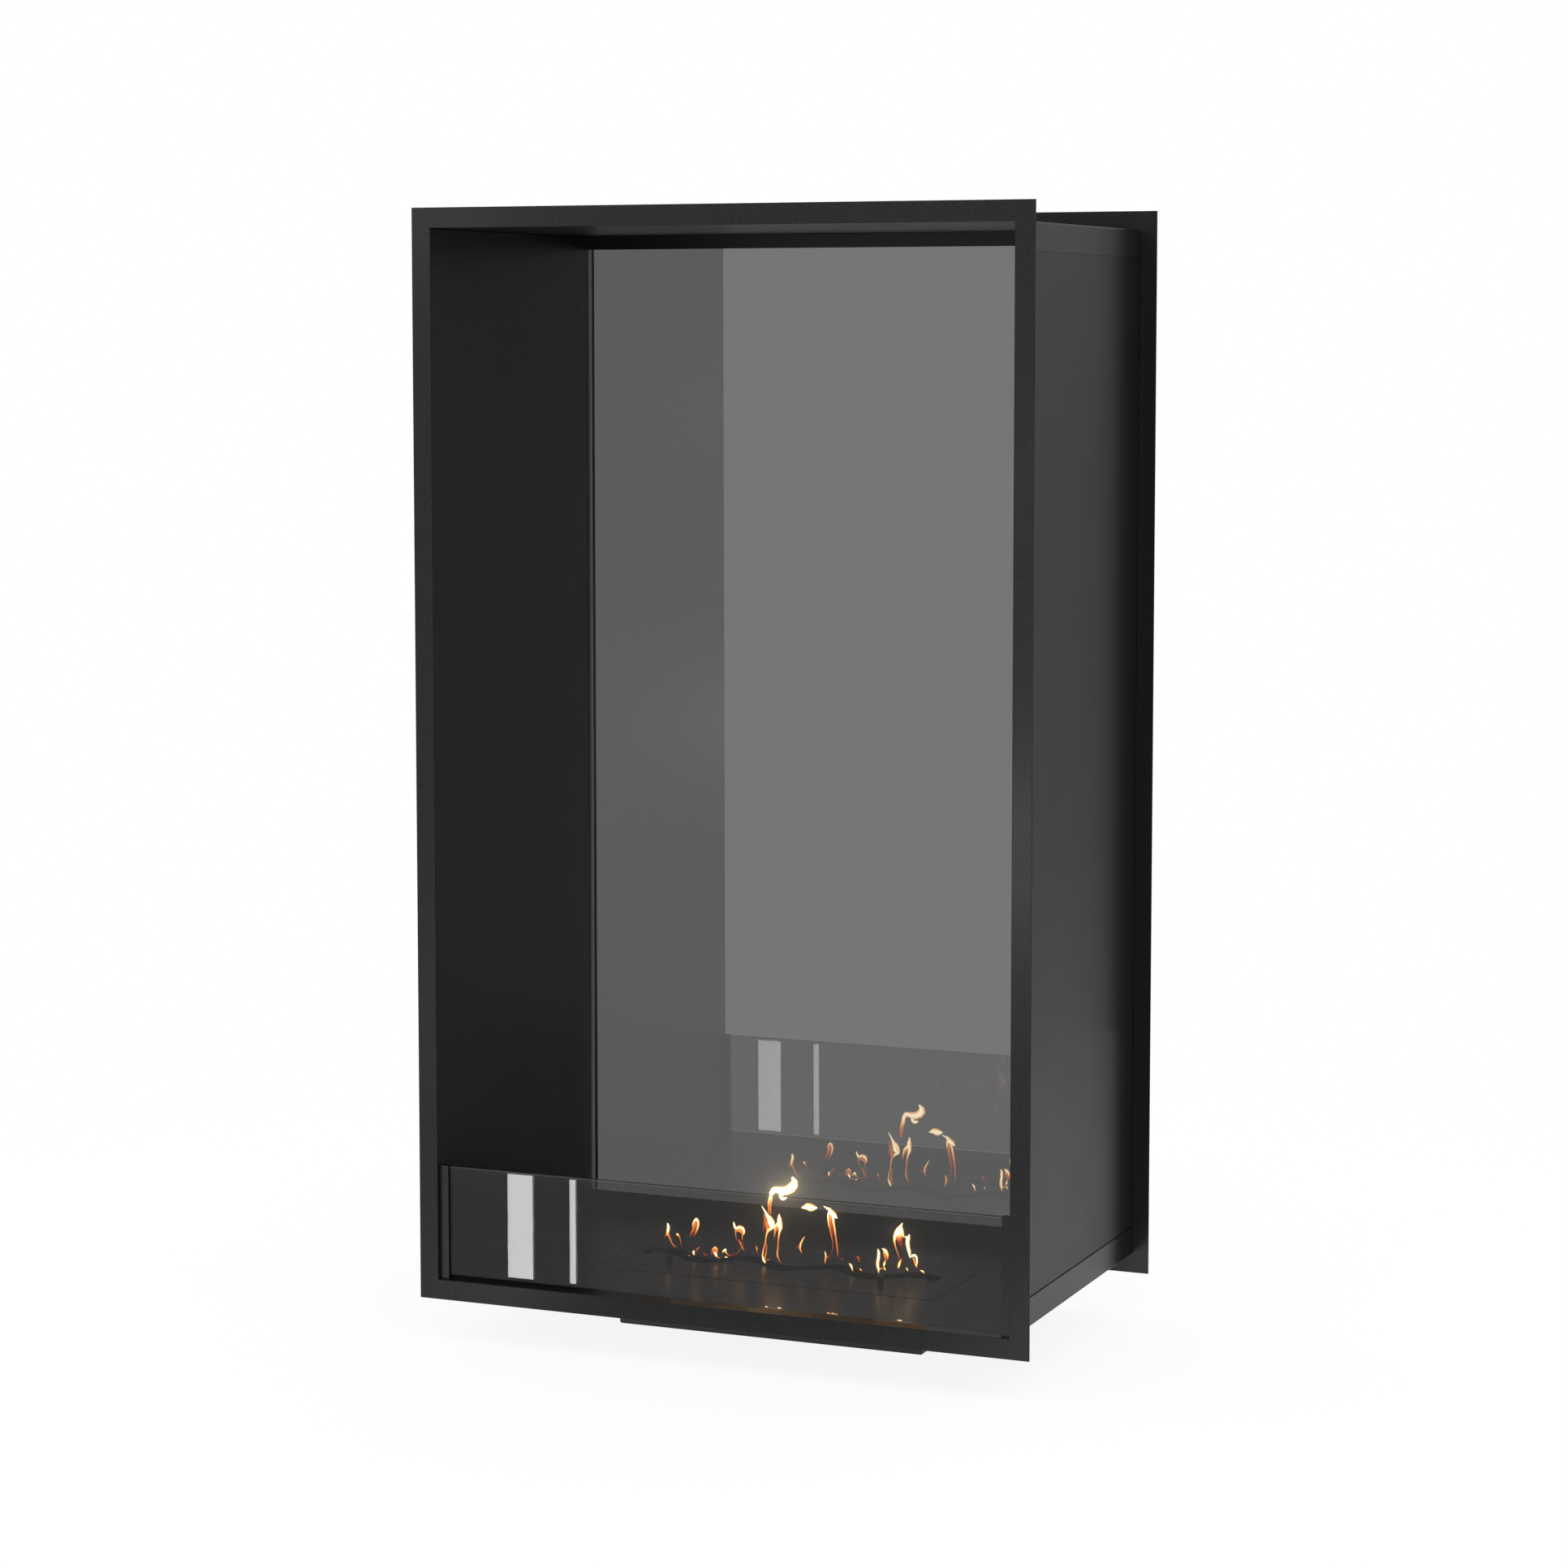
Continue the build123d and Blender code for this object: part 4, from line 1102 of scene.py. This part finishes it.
def studio_floor():
    """A pale floor that fades into the white around the fireplace, left out of what it mirrors."""
    bpy.ops.object.select_all(action="DESELECT")
    bpy.ops.mesh.primitive_circle_add(vertices=96, radius=sizes().floor_radius, fill_type="NGON")
    floor = bpy.context.active_object
    floor.name = floor.data.name = "studio_floor"
    material, tree = blank_material("pale_studio_floor")
    split = place(tree, SEPARATE, links={"Vector": place(tree, GEOMETRY).outputs["Position"]})
    flat = place(tree, "ShaderNodeCombineXYZ", links={"X": split.outputs["X"], "Y": split.outputs["Y"]})
    far = place(tree, VECTOR_MATH, links={0: flat.outputs["Vector"]}, operation="LENGTH")
    paint = place(tree, "ShaderNodeBsdfDiffuse", {"Color": tuple(colours().floor)})
    glow = place(tree, EMISSION, {"Strength": FLOOR_GLOW})
    seen = place(tree, "ShaderNodeAddShader", links={0: paint.outputs["BSDF"], 1: glow.outputs["Emission"]})
    white = place(tree, EMISSION, {"Strength": 1.0})
    fade = place(
        tree, MAP_RANGE, {"From Min": FADE_START, "From Max": FADE_END}, {"Value": far.outputs["Value"]}
    )
    both = place(
        tree,
        MIX_SHADER,
        links={0: fade.outputs["Result"], 1: seen.outputs["Shader"], 2: white.outputs["Emission"]},
    )
    finish_surface(tree, both.outputs["Shader"])
    floor.data.materials.append(material)
    floor.visible_glossy = False
    floor.visible_transmission = False


def studio_surround():
    """A white surround. What the steel and the glass mirror of it differs by direction, as in the studio."""
    world = bpy.data.worlds.new("white_surround")
    world.use_nodes = True
    tree = world.node_tree
    tree.nodes.clear()
    split = place(tree, SEPARATE, links={"Vector": place(tree, COORDINATES).outputs["Generated"]})
    rise = place(tree, MAP_RANGE, {"From Min": -1.0, "From Max": 1.0}, {"Value": split.outputs["Z"]})
    levels = {}
    for side, stops in SURROUND.items():
        ramp = place(tree, RAMP, links={"Fac": rise.outputs["Result"]})
        marks = ramp.color_ramp.elements
        while len(marks) > 1:
            marks.remove(marks[0])
        for count, (height, level) in enumerate(stops):
            mark = marks[0] if count == 0 else marks.new((height + 1) / 2)
            mark.position = (height + 1) / 2
            mark.color = (level, level, level, 1.0)
        levels[side] = ramp.outputs["Color"]
    behind = place(tree, MAP_RANGE, {"From Min": -0.2, "From Max": 0.2}, {"Value": split.outputs["Y"]})
    level = place(
        tree,
        MIX,
        links={SHARE: behind.outputs["Result"], COLOUR_A: levels["front"], COLOUR_B: levels["behind"]},
        data_type="RGBA",
    )
    plain = place(tree, "ShaderNodeBackground", {"Color": (1.0, 1.0, 1.0, 1.0), "Strength": 1.0})
    mirrored = place(
        tree, "ShaderNodeBackground", {"Strength": 1.0}, {"Color": level.outputs[MIXED_COLOUR]}
    )
    both = place(
        tree,
        MIX_SHADER,
        links={0: mirrored_share(tree), 1: plain.outputs["Background"], 2: mirrored.outputs["Background"]},
    )
    output = place(tree, "ShaderNodeOutputWorld", links={"Surface": both.outputs["Shader"]})
    output.is_active_output = True
    bpy.context.scene.world = world


def reflected_card(name, across, upward, depth, strength, seen_in, shade="FFFFFF"):
    """An upright card that is seen only mirrored.

    It shows in "dull" steel, "clear" on any surface, or through a pane of "glass".
    """
    bpy.ops.object.select_all(action="DESELECT")
    bpy.ops.mesh.primitive_plane_add(size=1.0, rotation=(math.radians(90), 0, 0))
    card = bpy.context.active_object
    card.name = card.data.name = name
    card.scale = (across[1] - across[0], upward[1] - upward[0], 1.0)
    card.location = (sum(across) / 2, depth, sum(upward) / 2)
    settle()
    material, tree = blank_material(name)
    glow = place(tree, EMISSION, {"Color": linear(shade), "Strength": strength}).outputs["Emission"]
    if seen_in == "dull":
        sharp = place(tree, LIGHT_PATH).outputs["Is Singular Ray"]
        nothing = place(tree, "ShaderNodeBsdfTransparent").outputs["BSDF"]
        glow = place(tree, MIX_SHADER, links={0: sharp, 1: glow, 2: nothing}).outputs["Shader"]
    finish_surface(tree, glow)
    card.data.materials.append(material)
    card.visible_camera = False
    card.visible_diffuse = False
    card.visible_shadow = False
    card.visible_glossy = seen_in != "glass"
    card.visible_transmission = seen_in == "glass"


def soft_light(name, place_at, target, width, watts):
    """One large soft light, kept out of the reflections."""
    lamp = bpy.data.lights.new(name, "AREA")
    lamp.shape = "SQUARE"
    lamp.size = width
    lamp.energy = watts
    holder = bpy.data.objects.new(name, lamp)
    holder.location = place_at
    holder.rotation_euler = (Vector(target) - Vector(place_at)).to_track_quat("-Z", "Y").to_euler()
    holder.visible_glossy = False
    holder.visible_transmission = False
    bpy.context.scene.collection.objects.link(holder)


def photo_camera():
    """The camera. Its place, angle, lens and shift are fitted to the corners of the two frames."""
    lens = bpy.data.cameras.new("photo_camera")
    lens.lens = 89.53
    lens.sensor_width = 36.0
    lens.shift_y = -0.06
    lens.clip_end = 100.0
    holder = bpy.data.objects.new("photo_camera", lens)
    holder.location = (1.7883, -4.3027, 1.2029)
    holder.rotation_euler = (math.radians(90 - 5.206), 0.0, math.radians(22.645))
    bpy.context.scene.collection.objects.link(holder)
    bpy.context.scene.camera = holder


def flame_glow():
    """The soft halo that the lens draws around the brightest flames."""
    scene = bpy.context.scene
    scene.use_nodes = True
    tree = scene.node_tree
    tree.nodes.clear()
    layers = place(tree, "CompositorNodeRLayers")
    glare = place(
        tree,
        "CompositorNodeGlare",
        {"Threshold": 1.2, "Size": 0.35, "Strength": 1.0},
        {"Image": layers.outputs["Image"]},
        glare_type="FOG_GLOW",
    )
    place(tree, "CompositorNodeComposite", links={"Image": glare.outputs["Image"]})


class FIREPLACE_OT_stage(bpy.types.Operator):
    """Sets up the pale floor, the mirrored cards, the soft light and the camera"""

    bl_idname = "fireplace.stage"
    bl_label = "Studio"

    def execute(self, context):
        context.scene.view_settings.view_transform = "Standard"
        studio_floor()
        studio_surround()
        top, near = sizes().stripe_top, sizes().stripe_plane
        reflected_card("dim_card", DIM_ACROSS, (DIM_FOOT, top), near - DIM_STEP, DIM_STRENGTH, "clear")
        for name, left, right in STRIPES:
            reflected_card(name + "_on_guard", (left, right), (STRIPE_FOOT, top), near, ON_GUARD, "clear")
            reflected_card(name + "_in_pane", (left, right), (STRIPE_FOOT, top), near, IN_PANE, "glass")
        for name, across, upward, depth, strength in SHEENS:
            reflected_card(name, across, upward, depth, strength, "dull")
        for count, (left, right, strength, shade) in enumerate(SILL_GLOW):
            name = f"sill_glow_{count}"
            reflected_card(name, (left, right), SILL_RISE, SILL_GLOW_DEPTH, strength, "dull", shade)
        soft_light(
            "overhead_softbox", place_at=(0.6, -1.6, 3.2), target=(0.0, 0.0, 0.6), width=2.4, watts=20.0
        )
        photo_camera()
        flame_glow()
        return {"FINISHED"}


class FIREPLACE_PT_panel(bpy.types.Panel):
    """Lists the steps that dress the fireplace"""

    bl_idname = "FIREPLACE_PT_panel"
    bl_label = "Fireplace"
    bl_space_type = "VIEW_3D"
    bl_region_type = "UI"
    bl_category = "Fireplace"

    def draw(self, context):
        for group in (context.scene.fireplace_sizes, context.scene.fireplace_colours):
            for name in type(group).__annotations__:
                self.layout.prop(group, name)
        for step in STEPS:
            self.layout.operator(step.bl_idname)


STEPS = (
    FIREPLACE_OT_finishes,
    FIREPLACE_OT_wool,
    FIREPLACE_OT_screws,
    FIREPLACE_OT_flames,
    FIREPLACE_OT_stage,
)
CLASSES = (FireplaceSizes, FireplaceColours) + STEPS + (FIREPLACE_PT_panel,)


def register():
    for item in CLASSES:
        bpy.utils.register_class(item)
    bpy.types.Scene.fireplace_sizes = bpy.props.PointerProperty(type=FireplaceSizes)
    bpy.types.Scene.fireplace_colours = bpy.props.PointerProperty(type=FireplaceColours)


def unregister():
    del bpy.types.Scene.fireplace_colours
    del bpy.types.Scene.fireplace_sizes
    for item in reversed(CLASSES):
        bpy.utils.unregister_class(item)


def main():
    register()
    bpy.ops.fireplace.finishes()
    bpy.ops.fireplace.wool()
    bpy.ops.fireplace.screws()
    bpy.ops.fireplace.flames()
    bpy.ops.fireplace.stage()
    bpy.context.view_layer.update()


if __name__ == "__main__":
    main()
